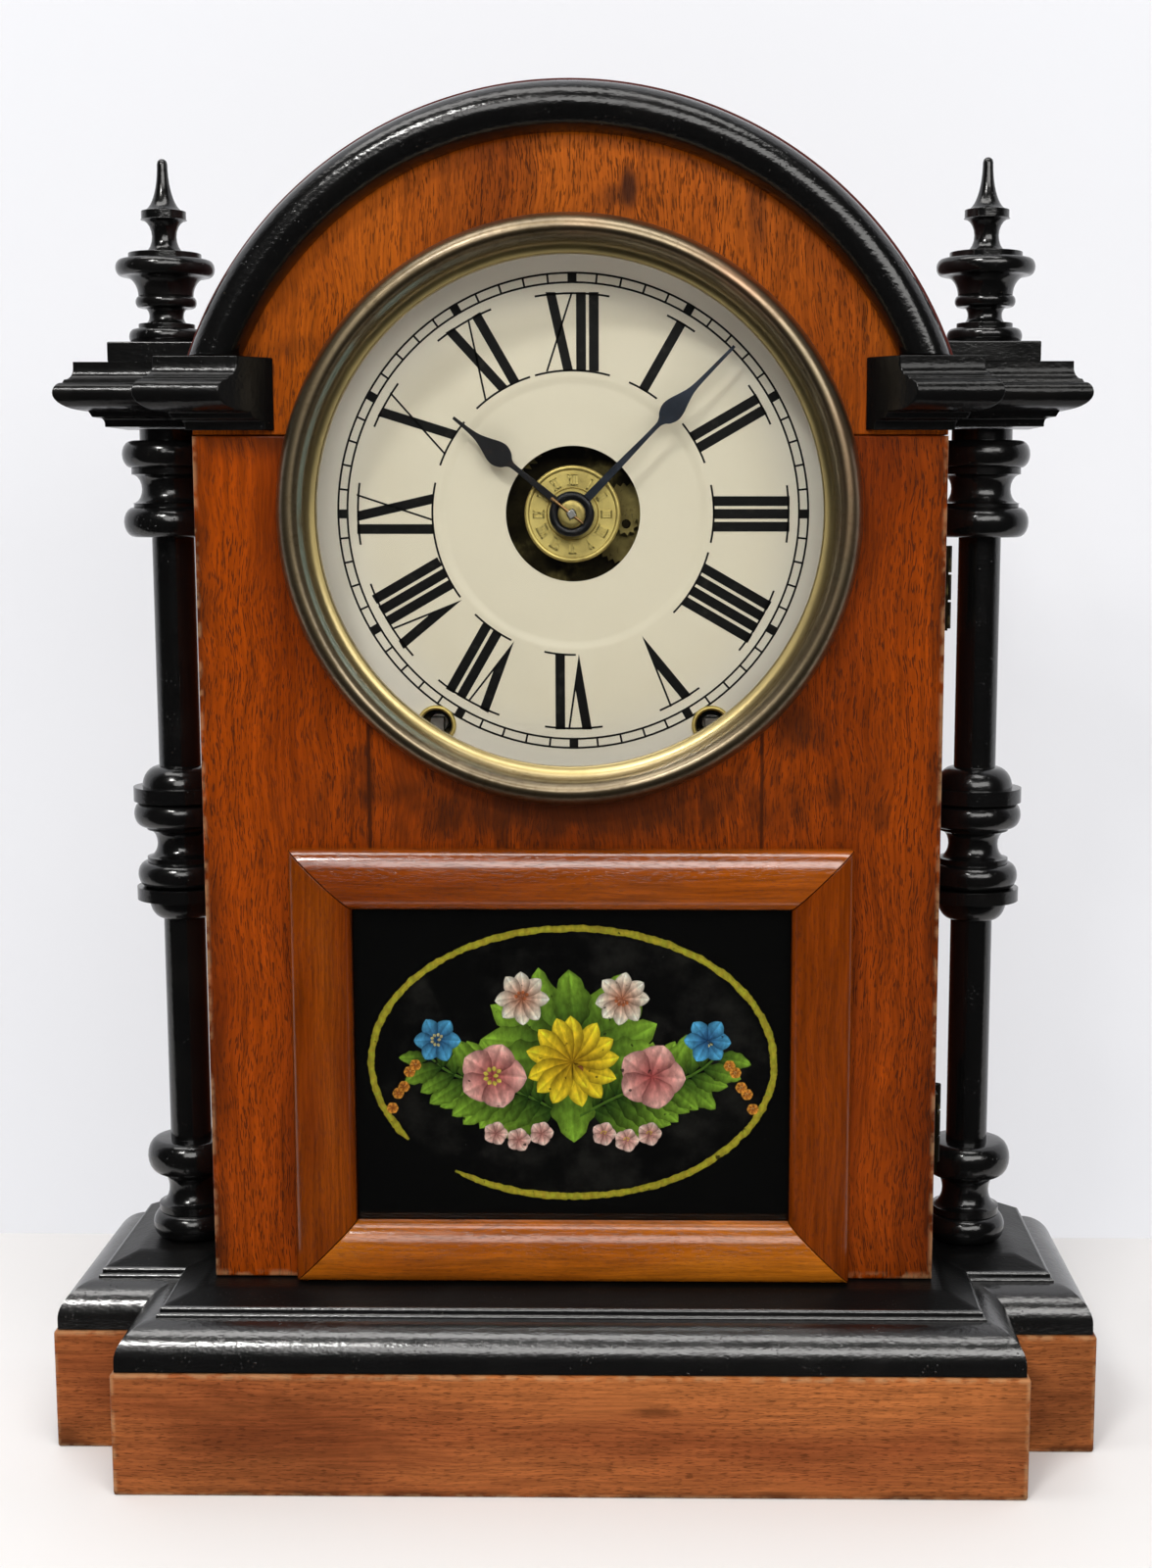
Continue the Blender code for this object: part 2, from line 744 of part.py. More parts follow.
def make_capital(name, side):
    """The moulded block over a column."""
    rings = []
    inner = HALF_CASE + GAP
    bottom = CAPITAL_TOP - COLUMN_CAPITAL_HEIGHT
    for stand, height in capital_profile(COLUMN_CAPITAL_HEIGHT):
        half = CAPITAL_HALF + stand
        outer = COLUMN_X + CAPITAL_SIDE + stand
        ring = [(inner, COLUMN_Y - half), (outer, COLUMN_Y - half),
                (outer, COLUMN_Y + half), (inner, COLUMN_Y + half)]
        rings.append([(side * x, y, bottom + height) for x, y in ring])
    capital = part(name, loft(name, rings), BLACK)
    if side > 0:
        combine(capital, "DIFFERENCE", open_door_space(name))


def open_door_space(name):
    """The space of the open door, up to a little beyond its hinged edge."""
    edge = HALF_CASE + 2 * GAP - HINGE_X
    space = box(name, (-CASE_WIDTH, -CASE_WIDTH, 0), (edge, CASE_WIDTH, CAPITAL_TOP * 2))
    space.transform(Matrix.Translation((HINGE_X, HINGE_Y, 0)) @ Matrix.Rotation(DOOR_OPEN, 4, "Z"))
    return space


def capital_profile(rise):
    """Stand and height of a capital's mouldings, from the bottom up."""
    points = [(0, 0), (0, rise * 0.04)]
    points += quarter(points[-1], (CAPITAL_STEP * 0.4, rise * 0.14), 2, False)
    points.append((CAPITAL_STEP, rise * 0.15))
    points.append((CAPITAL_STEP * 1.3, rise * 0.24))
    points += quarter(points[-1], (CAPITAL_NOSE, rise * 0.5), 4, True)
    points += quarter(points[-1], (CAPITAL_NOSE * 0.8, rise * 0.67), 3, False)
    points.append((CAPITAL_NOSE * 0.76, rise * 0.72))
    points += quarter(points[-1], (CAPITAL_CROWN, rise * 0.9), 3, True)
    points.append((CAPITAL_CROWN, rise))
    return distinct(points)


def make_dial():
    """The dial, its board and the two winding grommets."""
    y = FACE + DIAL_DEPTH
    holes = [(-WINDING_X, -WINDING_DROP), (WINDING_X, -WINDING_DROP)]
    sleeve = GROMMET_HOLE + 0.0004
    outlines = [circle(DIAL_RADIUS, 48), circle(DIAL_EYE, 28)]
    outlines += [circle(sleeve + GAP, 14, hole) for hole in holes]
    dial = slab("dial_pan", outlines, DIAL_SHEET)
    part("dial_pan", dial, CREAM, (0, y + DIAL_SHEET / 2, DIAL_Z), "front")

    half = INNER_HALF - GAP
    radius = SHELL_RADIUS - SHELL_THICKNESS - GAP
    rise = math.sqrt(radius ** 2 - half ** 2)
    bottom = DIAL_Z - DIAL_RADIUS - BOARD_THICKNESS - ARCH_Z
    outline = [(-half, bottom), (half, bottom)]
    outline += arc((0, 0), radius, math.atan2(rise, half), math.pi - math.atan2(rise, half), 19)
    drop = DIAL_Z - ARCH_Z
    winding_reach = math.hypot(WINDING_X, WINDING_DROP)
    clear = GROMMET_RADIUS + 0.0016
    opening = winding_reach - clear - 0.0032
    outlines = [outline, circle(opening, 36, (0, drop))]
    outlines += [circle(clear, 14, (x, z + drop)) for x, z in holes]
    board = slab("dial_board", outlines, BOARD_THICKNESS)
    part("dial_board", board, PINE, (0, FACE + BOARD_DEPTH + BOARD_THICKNESS / 2, ARCH_Z), "front")

    lip = 0.0012
    for name, hole in zip(("winding_grommet_left", "winding_grommet_right"), holes):
        points = [(GROMMET_HOLE + 0.0003, lip), (GROMMET_RADIUS - 0.0003, lip),
                  (GROMMET_RADIUS, lip - 0.0004), (GROMMET_RADIUS, GAP), (sleeve, GAP),
                  (sleeve, -DIAL_SHEET), (GROMMET_HOLE, -DIAL_SHEET), (GROMMET_HOLE, lip - 0.0003)]
        ring = part(name, profile(name, points, True), BRASS, (hole[0], y, DIAL_Z + hole[1]), "front")
        turn(ring, 14)


# Door

def make_panels():
    """The two walnut panels of the door, open for the dial and the painted glass."""
    notch = math.asin((PANEL_TOP - DIAL_Z) / OPENING_RADIUS)
    across = OPENING_RADIUS * math.cos(notch)
    centre = (0, DIAL_Z)
    lower = [(-HALF_CASE, CASE_BOTTOM), (HALF_CASE, CASE_BOTTOM), (HALF_CASE, PANEL_TOP),
             (across, PANEL_TOP)]
    lower += arc(centre, OPENING_RADIUS, notch, -math.pi - notch, 29)[1:]
    lower.append((-HALF_CASE, PANEL_TOP))
    half = TABLET_WIDTH / 2 + GLASS_REBATE
    rise = TABLET_HEIGHT / 2 + GLASS_REBATE
    window = [(-half, TABLET_Z - rise), (half, TABLET_Z - rise),
              (half, TABLET_Z + rise), (-half, TABLET_Z + rise)]
    mesh = slab("door_lower_panel", [lower, window], DOOR_THICKNESS)
    part("door_lower_panel", mesh, WALNUT, (0, FACE + DOOR_THICKNESS / 2, 0), "front")

    bottom = PANEL_TOP + GAP
    notch = math.asin((bottom - DIAL_Z) / OPENING_RADIUS)
    radius = ARCH_MOULD_RADIUS + ARCH_RIM
    shoulder = CAPITAL_TOP + GAP
    spring = math.asin((shoulder - ARCH_Z) / radius)
    arch = [(HALF_CASE, bottom), (HALF_CASE, shoulder)]
    arch += arc((0, ARCH_Z), radius, spring, math.pi - spring, 29)
    arch += [(-HALF_CASE, shoulder), (-HALF_CASE, bottom)]
    arch += arc(centre, OPENING_RADIUS, math.pi - notch, notch, 25)
    thickness = DOOR_THICKNESS - ARCH_PANEL_SETBACK
    mesh = slab("door_arch_panel", [arch], thickness)
    y = FACE + ARCH_PANEL_SETBACK + thickness / 2
    part("door_arch_panel", mesh, WALNUT, (0, y, 0), "front")


def make_arch_moulding():
    """The black half-round moulding over the arch."""
    outer = ARCH_MOULD_RADIUS
    inner = outer - ARCH_MOULD_WIDTH
    middle = (outer + inner) / 2
    back = GAP - ARCH_PANEL_SETBACK
    points = [(middle + ARCH_MOULD_WIDTH / 2 * math.sin(t), ARCH_MOULD_RISE * math.cos(t))
              for t in (-math.pi / 2, -1.1, -0.7, -0.3, 0.1, 0.5, 0.9, 1.3, math.pi / 2)]
    points += [(outer, back), (inner, back)]
    ring = part("arch_moulding", profile("arch_moulding", points, True), BLACK,
                (0, FACE, ARCH_Z), "front")
    turn(ring, 56)
    spring = CAPITAL_TOP + GAP - ARCH_Z
    far = outer * 2
    combine(ring, "DIFFERENCE", box("arch_moulding", (-far, -far, -far), (far, spring, far)))


def make_door_capital(name, side):
    """The capital on the door, mitred at its outer end and cut back at its inner end."""
    rings = []
    back = FACE + ARCH_PANEL_SETBACK - GAP
    for stand, height in capital_profile(CAPITAL_HEIGHT):
        front = FACE - DOOR_CAPITAL_STAND - stand
        ring = []
        for y in (back, front):
            inner = HALF_CASE - DOOR_CAPITAL_LENGTH + (FACE - y) * DOOR_CAPITAL_SLANT
            ends = [(inner, y), (HALF_CASE + FACE - y, y)]
            ring += ends if y == back else reversed(ends)
        rings.append([(side * x, y, CAPITAL_BOTTOM + height) for x, y in ring])
    part(name, loft(name, rings), BLACK)


def rail_section():
    """Distance in from the outer edge and height of a frame rail's section."""
    points = [(0, 0), (0, RAIL_EDGE)]
    points += quarter((0, RAIL_EDGE), (RAIL_WIDTH * 0.42, RAIL_CROWN), 4, False)
    points += quarter(points[-1], (RAIL_WIDTH, RAIL_LIP), 4, True)
    points.append((RAIL_WIDTH, 0))
    return points


def make_rail(name, length, turns, offset):
    """One mitred rail of the frame, outer edge along X before it is turned."""
    half = length / 2 - GAP / 2
    rings = []
    for end in (-1, 1):
        section = [(end * (half - across), across - offset, rise) for across, rise in rail_section()]
        rings.append(section)
    rail = part(name, loft(name, rings), WALNUT, (0, FACE - GAP, TABLET_Z))
    upright = Matrix.Rotation(math.pi / 2, 3, "X")
    rail.rotation_euler = (Matrix.Rotation(turns * math.pi / 2, 3, "Y") @ upright).to_euler()


def make_tablet():
    """The mitred frame and the painted glass it holds."""
    width = TABLET_WIDTH + 2 * RAIL_WIDTH
    height = TABLET_HEIGHT + 2 * RAIL_WIDTH
    make_rail("tablet_rail_bottom", width, 0, height / 2)
    make_rail("tablet_rail_left", height, 1, width / 2)
    make_rail("tablet_rail_top", width, 2, height / 2)
    make_rail("tablet_rail_right", height, 3, width / 2)
    half = TABLET_WIDTH / 2 + GLASS_REBATE - GAP
    rise = TABLET_HEIGHT / 2 + GLASS_REBATE - GAP
    front = FACE + GLASS_SET
    mesh = box("tablet_glass", (-half, front, TABLET_Z - rise),
               (half, front + GLASS_THICKNESS, TABLET_Z + rise))
    part("tablet_glass", mesh, PAINTED_GLASS)


def make_bezel():
    """The brass bezel and its glass."""
    sleeve = OPENING_RADIUS - GAP
    seat = sleeve - BEZEL_WALL
    crest = (BEZEL_RADIUS + BEZEL_SIGHT) / 2 + BEZEL_CREST
    points = [(crest, BEZEL_RISE)]
    points += quarter(points[-1], (BEZEL_RADIUS, BEZEL_EDGE), 3, True)
    points += [(BEZEL_RADIUS - 0.0004, GAP), (sleeve, GAP), (sleeve, -BEZEL_SLEEVE), (seat, -BEZEL_SLEEVE),
               (seat, -BEZEL_LIP), (BEZEL_SIGHT, -BEZEL_LIP), (BEZEL_SIGHT, BEZEL_LIP)]
    points += quarter(points[-1], (crest - 0.0004, BEZEL_RISE), 3, True)[:-1]
    ring = part("bezel", profile("bezel", points, True), AGED_BRASS, (0, FACE, DIAL_Z), "front")
    turn(ring, 36)

    front = -BEZEL_LIP - GAP
    back = front - GLASS_THICKNESS
    radius = seat - GAP
    points = [(0, front), (radius, front), (radius, back), (0, back)]
    glass = part("bezel_glass", profile("bezel_glass", points), CLEAR_GLASS, (0, FACE, DIAL_Z), "front")
    turn(glass, 36)


def make_hinge(level, middle):
    """Both leaves of a butt hinge. The door's leaf carries the pin."""
    third = HINGE_HEIGHT / 3
    half = HINGE_HEIGHT / 2
    plate = -KNUCKLE_RADIUS
    clear = KNUCKLE_RADIUS + GAP
    axis = (HINGE_X, HINGE_Y, middle)

    name = f"hinge_{level}_case_leaf"
    leaf = part(name, box(name, (plate, clear, -half), (plate + LEAF_THICKNESS, clear + LEAF_WIDTH, half)),
                BRASS, axis)
    for end in (-1, 1):
        low, high = sorted((end * half, end * (half - third + GAP)))
        tongue = box(name, (plate, 0.0002, low), (plate + LEAF_THICKNESS, clear + LEAF_WIDTH / 2, high))
        combine(leaf, "UNION", tongue)
        combine(leaf, "UNION", rod(name, KNUCKLE_RADIUS, high - low), (0, 0, (low + high) / 2))
    combine(leaf, "DIFFERENCE", rod(name, PIN_RADIUS + GAP, HINGE_HEIGHT * 1.2))

    name = f"hinge_{level}_door_leaf"
    reach_back = -clear - LEAF_WIDTH
    leaf = part(name, box(name, (plate, reach_back, -half), (plate + LEAF_THICKNESS, -clear, half)),
                BRASS, axis)
    inside = third / 2 - GAP
    tongue = box(name, (plate, -clear - LEAF_WIDTH / 2, -inside), (plate + LEAF_THICKNESS, -0.0002, inside))
    combine(leaf, "UNION", tongue)
    combine(leaf, "UNION", rod(name, KNUCKLE_RADIUS, 2 * inside))
    combine(leaf, "UNION", rod(name, PIN_RADIUS, HINGE_HEIGHT))


def hang_door():
    """Parent the door's pieces to an empty on the hinge axis."""
    axis = bpy.data.objects.new("door_axis", None)
    bpy.data.collections["shelf_clock"].objects.link(axis)
    axis.location = (HINGE_X, HINGE_Y, DIAL_Z)
    bpy.context.view_layer.update()
    names = ["door_lower_panel", "door_arch_panel", "arch_moulding", "door_capital_left",
             "door_capital_right", "tablet_rail_top", "tablet_rail_bottom", "tablet_rail_left",
             "tablet_rail_right", "tablet_glass", "bezel", "bezel_glass",
             "hinge_upper_door_leaf", "hinge_lower_door_leaf"]
    for name in names:
        piece = bpy.data.objects[name]
        piece.parent = axis
        piece.matrix_parent_inverse = axis.matrix_world.inverted()


# Movement layout, from the dial centre

CENTRE = (0.0, 0.0)
TIME_WINDING = (-WINDING_X, -WINDING_DROP)
STRIKE_WINDING = (WINDING_X, -WINDING_DROP)
GREAT_DISTANCE = pair_distance(GREAT_TEETH, GREAT_PINION, GREAT_MODULE)
SECOND = reach(TIME_WINDING, GREAT_DISTANCE, CENTRE,
               pair_distance(SECOND_TEETH, CENTRE_PINION, SECOND_MODULE), -1)
ESCAPE = (PENDULUM_X, ESCAPE_RISE)
THIRD = reach(CENTRE, pair_distance(CENTRE_TEETH, THIRD_PINION, CENTRE_MODULE), ESCAPE,
              pair_distance(THIRD_TEETH, ESCAPE_PINION, THIRD_MODULE), -1)
MINUTE_DISTANCE = pair_distance(MINUTE_TEETH, CANNON_TEETH, MINUTE_MODULE)
MINUTE = (MINUTE_DISTANCE * math.cos(MINUTE_ARBOR_ANGLE), MINUTE_DISTANCE * math.sin(MINUTE_ARBOR_ANGLE))
HOUR_MODULE = 2 * MINUTE_DISTANCE / (HOUR_TEETH + MINUTE_PINION)
PIN_ARBOR = (STRIKE_WINDING[0] + GREAT_DISTANCE * math.cos(PIN_ARBOR_ANGLE),
             STRIKE_WINDING[1] + GREAT_DISTANCE * math.sin(PIN_ARBOR_ANGLE))
FLY_DISTANCE = pair_distance(FLY_TEETH, FLY_PINION, FLY_MODULE)
FLY = (PIN_ARBOR[0] + FLY_DISTANCE * math.cos(FLY_ARBOR_ANGLE),
       PIN_ARBOR[1] + FLY_DISTANCE * math.sin(FLY_ARBOR_ANGLE))
HAMMER = (0.0, -HAMMER_DROP)
VERGE = (PENDULUM_X, VERGE_RISE)
SUSPENSION = (PENDULUM_X, SUSPENSION_RISE)
GONG = (GONG_RADIUS + GONG_WIRE + HAMMER_HEAD + GAP, -HAMMER_DROP - HAMMER_LENGTH)


def at(point, depth):
    """World place of a point of the movement at a depth behind the door face."""
    return point[0], FACE + depth, DIAL_Z + point[1]


def arbor(piece, depth, front, back, radius=ARBOR_RADIUS, sides=8):
    """Join an arbor between two depths to a wheel that stands at a depth."""
    mesh = rod(piece.name, radius, back - front, sides)
    combine(piece, "UNION", mesh, (0, 0, depth - (front + back) / 2))


def join_pinion(piece, depth, outline, middle, length):
    """Join a pinion to a wheel that stands at a depth."""
    combine(piece, "UNION", slab(piece.name, [outline], length), (0, 0, depth - middle))


def make_plates():
    """Both plates, the pillars between them and the block behind."""
    passing = ARBOR_RADIUS + GAP
    winding = WINDING_RADIUS + GAP
    holes = [circle(passing, 8, spot) for spot in (CENTRE, SECOND, THIRD, ESCAPE, PIN_ARBOR, FLY, HAMMER)]
    holes += [circle(winding, 12, spot) for spot in (TIME_WINDING, STRIKE_WINDING)]
    front_holes = holes + [circle(PILLAR_RADIUS / 2 + GAP, 8, spot) for spot in PILLARS]
    depth = FRONT_PLATE_DEPTH + PLATE_THICKNESS / 2
    plate = part("movement_front_plate", slab("movement_front_plate", [PLATE_OUTLINE] + front_holes,
                                              PLATE_THICKNESS), BRASS, at(CENTRE, depth), "front")
    length = STUD_LENGTH + PLATE_THICKNESS / 2
    for spot in (VERGE, MINUTE):
        mesh = rod(plate.name, ARBOR_RADIUS, length, 8)
        combine(plate, "UNION", mesh, (*spot, length / 2))
    post_reach = FRONT_PLATE_DEPTH - ROD_DEPTH + 2 * ROD_RADIUS
    low = (SUSPENSION[0] - POST_HALF, SUSPENSION[1] + POST_FOOT, 0)
    high = (SUSPENSION[0] + POST_HALF, SUSPENSION[1] + POST_HEAD, post_reach + PLATE_THICKNESS / 2)
    combine(plate, "UNION", box(plate.name, low, high))

    depth = BACK_PLATE_DEPTH + PLATE_THICKNESS / 2
    plate = part("movement_back_plate", slab("movement_back_plate", [PLATE_OUTLINE] + holes,
                                             PLATE_THICKNESS), BRASS, at(CENTRE, depth), "front")
    shoulder = PLATE_SPACING - GAP
    for spot in PILLARS:
        mesh = rod(plate.name, PILLAR_RADIUS, shoulder + PLATE_THICKNESS / 2, 10)
        combine(plate, "UNION", mesh, (*spot, (shoulder + PLATE_THICKNESS / 2) / 2))
        length = shoulder + PLATE_THICKNESS * 2
        mesh = rod(plate.name, PILLAR_RADIUS / 2, length, 8)
        combine(plate, "UNION", mesh, (*spot, length / 2))

    half = PLATE_OUTLINE[5][0]
    low = at((-half, PLATE_OUTLINE[0][1]), BLOCK_DEPTH)
    high = at((half, PLATE_OUTLINE[4][1]), BLOCK_DEPTH + BLOCK_THICKNESS)
    part("movement_block", box("movement_block", low, high), PINE)


def make_winding(prefix, spot, mate):
    """A great wheel, its winding arbor with ratchet, and its mainspring."""
    depth = TRAIN_DEPTH + GREAT_PLANE
    clear = WINDING_RADIUS + GAP
    rim = GREAT_MODULE * (GREAT_TEETH / 2 - DEDENDUM * 2.4)
    outlines = [gear(GREAT_TEETH, GREAT_MODULE, bearing(spot, mate)), circle(clear, 12)]
    outlines += crossings(clear * 2.6, rim, 5, 0.0015)
    name = prefix + "_great_wheel"
    part(name, slab(name, outlines, WHEEL_THICKNESS), BRASS, at(spot, depth), "front")

    name = prefix + "_winding_arbor"
    depth = TRAIN_DEPTH + RATCHET_PLANE
    ratchet = []
    for i in range(RATCHET_TEETH):
        for share, radius in ((0, RATCHET_RADIUS), (0.15, RATCHET_RADIUS - RATCHET_NOTCH)):
            angle = math.tau * (i + share) / RATCHET_TEETH
            ratchet.append((radius * math.cos(angle), radius * math.sin(angle)))
    piece = part(name, slab(name, [ratchet], RATCHET_THICKNESS), STEEL, at(spot, depth), "front")
    tip = DIAL_DEPTH + DIAL_SHEET + WINDING_REACH
    shoulder = BOARD_DEPTH + BOARD_THICKNESS + WINDING_SHOULDER
    arbor(piece, depth, shoulder, BACK_PLATE_DEPTH + PLATE_THICKNESS, WINDING_RADIUS, 14)
    side = WINDING_SQUARE / 2
    square = box(name, (-side, -side, depth - shoulder - 0.001), (side, side, depth - tip))
    combine(piece, "UNION", square)

    name = prefix + "_mainspring"
    inner = clear + SPRING_STRIP
    width = PLATE_SPACING - SPRING_FRONT - SPRING_BACK_CLEARANCE
    count = SPRING_TURNS * 10
    inside, outside = [], []
    for i in range(count + 1):
        angle = math.tau * SPRING_TURNS * i / count
        radius = inner + (SPRING_RADIUS - inner) * i / count
        for side_line, offset in ((inside, -0.5), (outside, 0.5)):
            distance = radius + offset * SPRING_STRIP
            side_line.append((distance * math.cos(angle), distance * math.sin(angle)))
    outline = outside + inside[::-1]
    depth = TRAIN_DEPTH + SPRING_FRONT + width / 2
    part(name, slab(name, [outline], width), STEEL, at(spot, depth), "front")


def make_time_train():
    """The wheels from the great wheel to the escape wheel."""
    back = BACK_PLATE_DEPTH + PLATE_THICKNESS
    front = FRONT_PLATE_DEPTH
    make_winding("time", TIME_WINDING, SECOND)

    depth = TRAIN_DEPTH + SECOND_PLANE
    outlines = [gear(SECOND_TEETH, SECOND_MODULE, bearing(SECOND, CENTRE))]
    outlines += crossings(0.006, SECOND_MODULE * (SECOND_TEETH / 2 - DEDENDUM * 2.4), 5, 0.0013)
    wheel = part("second_wheel", slab("second_wheel", outlines, WHEEL_THICKNESS), BRASS,
                 at(SECOND, depth), "front")
    arbor(wheel, depth, front, back)
    leaves = gear(GREAT_PINION, GREAT_MODULE, gap_phase(GREAT_PINION, bearing(SECOND, TIME_WINDING)))
    join_pinion(wheel, depth, leaves, TRAIN_DEPTH + GREAT_PLANE, PINION_LENGTH)

    depth = TRAIN_DEPTH + CENTRE_PLANE
    outlines = [gear(CENTRE_TEETH, CENTRE_MODULE, bearing(CENTRE, THIRD))]
    outlines += crossings(0.005, CENTRE_MODULE * (CENTRE_TEETH / 2 - DEDENDUM * 2.6), 4, 0.0011)
    wheel = part("centre_wheel", slab("centre_wheel", outlines, WHEEL_THICKNESS), BRASS,
                 at(CENTRE, depth), "front")
    arbor(wheel, depth, DIAL_DEPTH - ARBOR_TIP_RISE, back)
    leaves = gear(CENTRE_PINION, SECOND_MODULE, gap_phase(CENTRE_PINION, bearing(CENTRE, SECOND)))
    join_pinion(wheel, depth, leaves, TRAIN_DEPTH + SECOND_PLANE, PINION_LENGTH)
    leaves = gear(CANNON_TEETH, MINUTE_MODULE, bearing(CENTRE, MINUTE))
    join_pinion(wheel, depth, leaves, FRONT_PLATE_DEPTH - CANNON_PLANE, 0.0016)

    depth = TRAIN_DEPTH + THIRD_PLANE
    outlines = [gear(THIRD_TEETH, THIRD_MODULE, bearing(THIRD, ESCAPE))]
    outlines += crossings(0.004, THIRD_MODULE * (THIRD_TEETH / 2 - DEDENDUM * 2.6), 4, 0.001)
    wheel = part("third_wheel", slab("third_wheel", outlines, WHEEL_THICKNESS), BRASS,
                 at(THIRD, depth), "front")
    arbor(wheel, depth, front, back)
    leaves = gear(THIRD_PINION, CENTRE_MODULE, gap_phase(THIRD_PINION, bearing(THIRD, CENTRE)))
    join_pinion(wheel, depth, leaves, TRAIN_DEPTH + CENTRE_PLANE, PINION_LENGTH)

    depth = FRONT_PLATE_DEPTH - ESCAPE_PLANE
    pitch = math.tau / ESCAPE_TEETH
    teeth = []
    for i in range(ESCAPE_TEETH):
        for share, radius in ((0, ESCAPE_RADIUS), (0.18, ESCAPE_RADIUS - 0.0016)):
            angle = pitch * (i + share)
            teeth.append((radius * math.cos(angle), radius * math.sin(angle)))
    outlines = [teeth] + crossings(0.003, ESCAPE_RADIUS - 0.0034, 4, 0.0008)
    wheel = part("escape_wheel", slab("escape_wheel", outlines, WHEEL_THICKNESS), BRASS,
                 at(ESCAPE, depth), "front")
    arbor(wheel, depth, depth - WHEEL_THICKNESS / 2, back)
    leaves = gear(ESCAPE_PINION, THIRD_MODULE, gap_phase(ESCAPE_PINION, bearing(ESCAPE, THIRD)))
    join_pinion(wheel, depth, leaves, TRAIN_DEPTH + THIRD_PLANE, PINION_LENGTH)


def make_motion_work():
    """The minute wheel, and the hour wheel with its pipe."""
    depth = FRONT_PLATE_DEPTH - CANNON_PLANE
    leaves = gear(MINUTE_TEETH, MINUTE_MODULE, gap_phase(MINUTE_TEETH, bearing(MINUTE, CENTRE)))
    wheel = part("minute_wheel", slab("minute_wheel", [leaves], 0.001), BRASS, at(MINUTE, depth), "front")
    leaves = gear(MINUTE_PINION, HOUR_MODULE, bearing(MINUTE, CENTRE))
    pinion_front = FRONT_PLATE_DEPTH - HOUR_PLANE - 0.0014
    length = depth - pinion_front
    join_pinion(wheel, depth, leaves, depth - length / 2, length)
    combine(wheel, "DIFFERENCE", rod("minute_wheel", ARBOR_RADIUS + GAP, 0.05, 10))

    depth = FRONT_PLATE_DEPTH - HOUR_PLANE
    leaves = gear(HOUR_TEETH, HOUR_MODULE, gap_phase(HOUR_TEETH, bearing(CENTRE, MINUTE)))
    wheel = part("hour_wheel", slab("hour_wheel", [leaves], WHEEL_THICKNESS), BRASS,
                 at(CENTRE, depth), "front")
    tip = DIAL_DEPTH - HOUR_HAND_RISE - HAND_SHEET
    arbor(wheel, depth, tip, depth + WHEEL_THICKNESS / 2 + 0.0003, PIPE_RADIUS, 16)
    combine(wheel, "DIFFERENCE", rod("hour_wheel", PIPE_BORE, 0.1, 12))


def hand_outline(hub, stations, angle):
    """A hand from its round hub through its stations to its tip."""
    root = math.asin(HAND_ROOT / hub)
    side = [(HAND_ROOT, hub * math.cos(root))] + [(half, distance) for distance, half in stations]
    outline = side + [(-x, z) for x, z in reversed(side)]
    outline += arc((0, 0), hub, math.pi / 2 + root, math.pi * 2.5 - root, 19)[1:-1]
    turned = Matrix.Rotation(angle, 2)
    return [tuple(turned @ Vector(place)) for place in outline]


def make_hands():
    """Both hands, the washer before them and the alarm disc behind them."""
    outline = hand_outline(MINUTE_HUB, MINUTE_STATIONS, MINUTE_ANGLE)
    mesh = slab("minute_hand", [outline, circle(ARBOR_RADIUS + GAP, 10)], HAND_SHEET)
    part("minute_hand", mesh, BLUED_STEEL, at(CENTRE, DIAL_DEPTH - MINUTE_HAND_RISE), "front")
    outline = hand_outline(HOUR_HUB, HOUR_STATIONS, HOUR_ANGLE)
    mesh = slab("hour_hand", [outline, circle(PIPE_RADIUS + GAP, 16)], HAND_SHEET)
    part("hour_hand", mesh, BLUED_STEEL, at(CENTRE, DIAL_DEPTH - HOUR_HAND_RISE), "front")
    mesh = slab("hand_washer", [circle(WASHER_RADIUS, 18), circle(ARBOR_RADIUS + GAP, 10)], 0.0007)
    part("hand_washer", mesh, BRASS, at(CENTRE, DIAL_DEPTH - WASHER_RISE), "front")
    mesh = slab("alarm_disc", [circle(ALARM_RADIUS, 32), circle(PIPE_RADIUS + GAP, 16)], 0.001)
    part("alarm_disc", mesh, BRASS, at(CENTRE, DIAL_DEPTH - ALARM_RISE), "front")


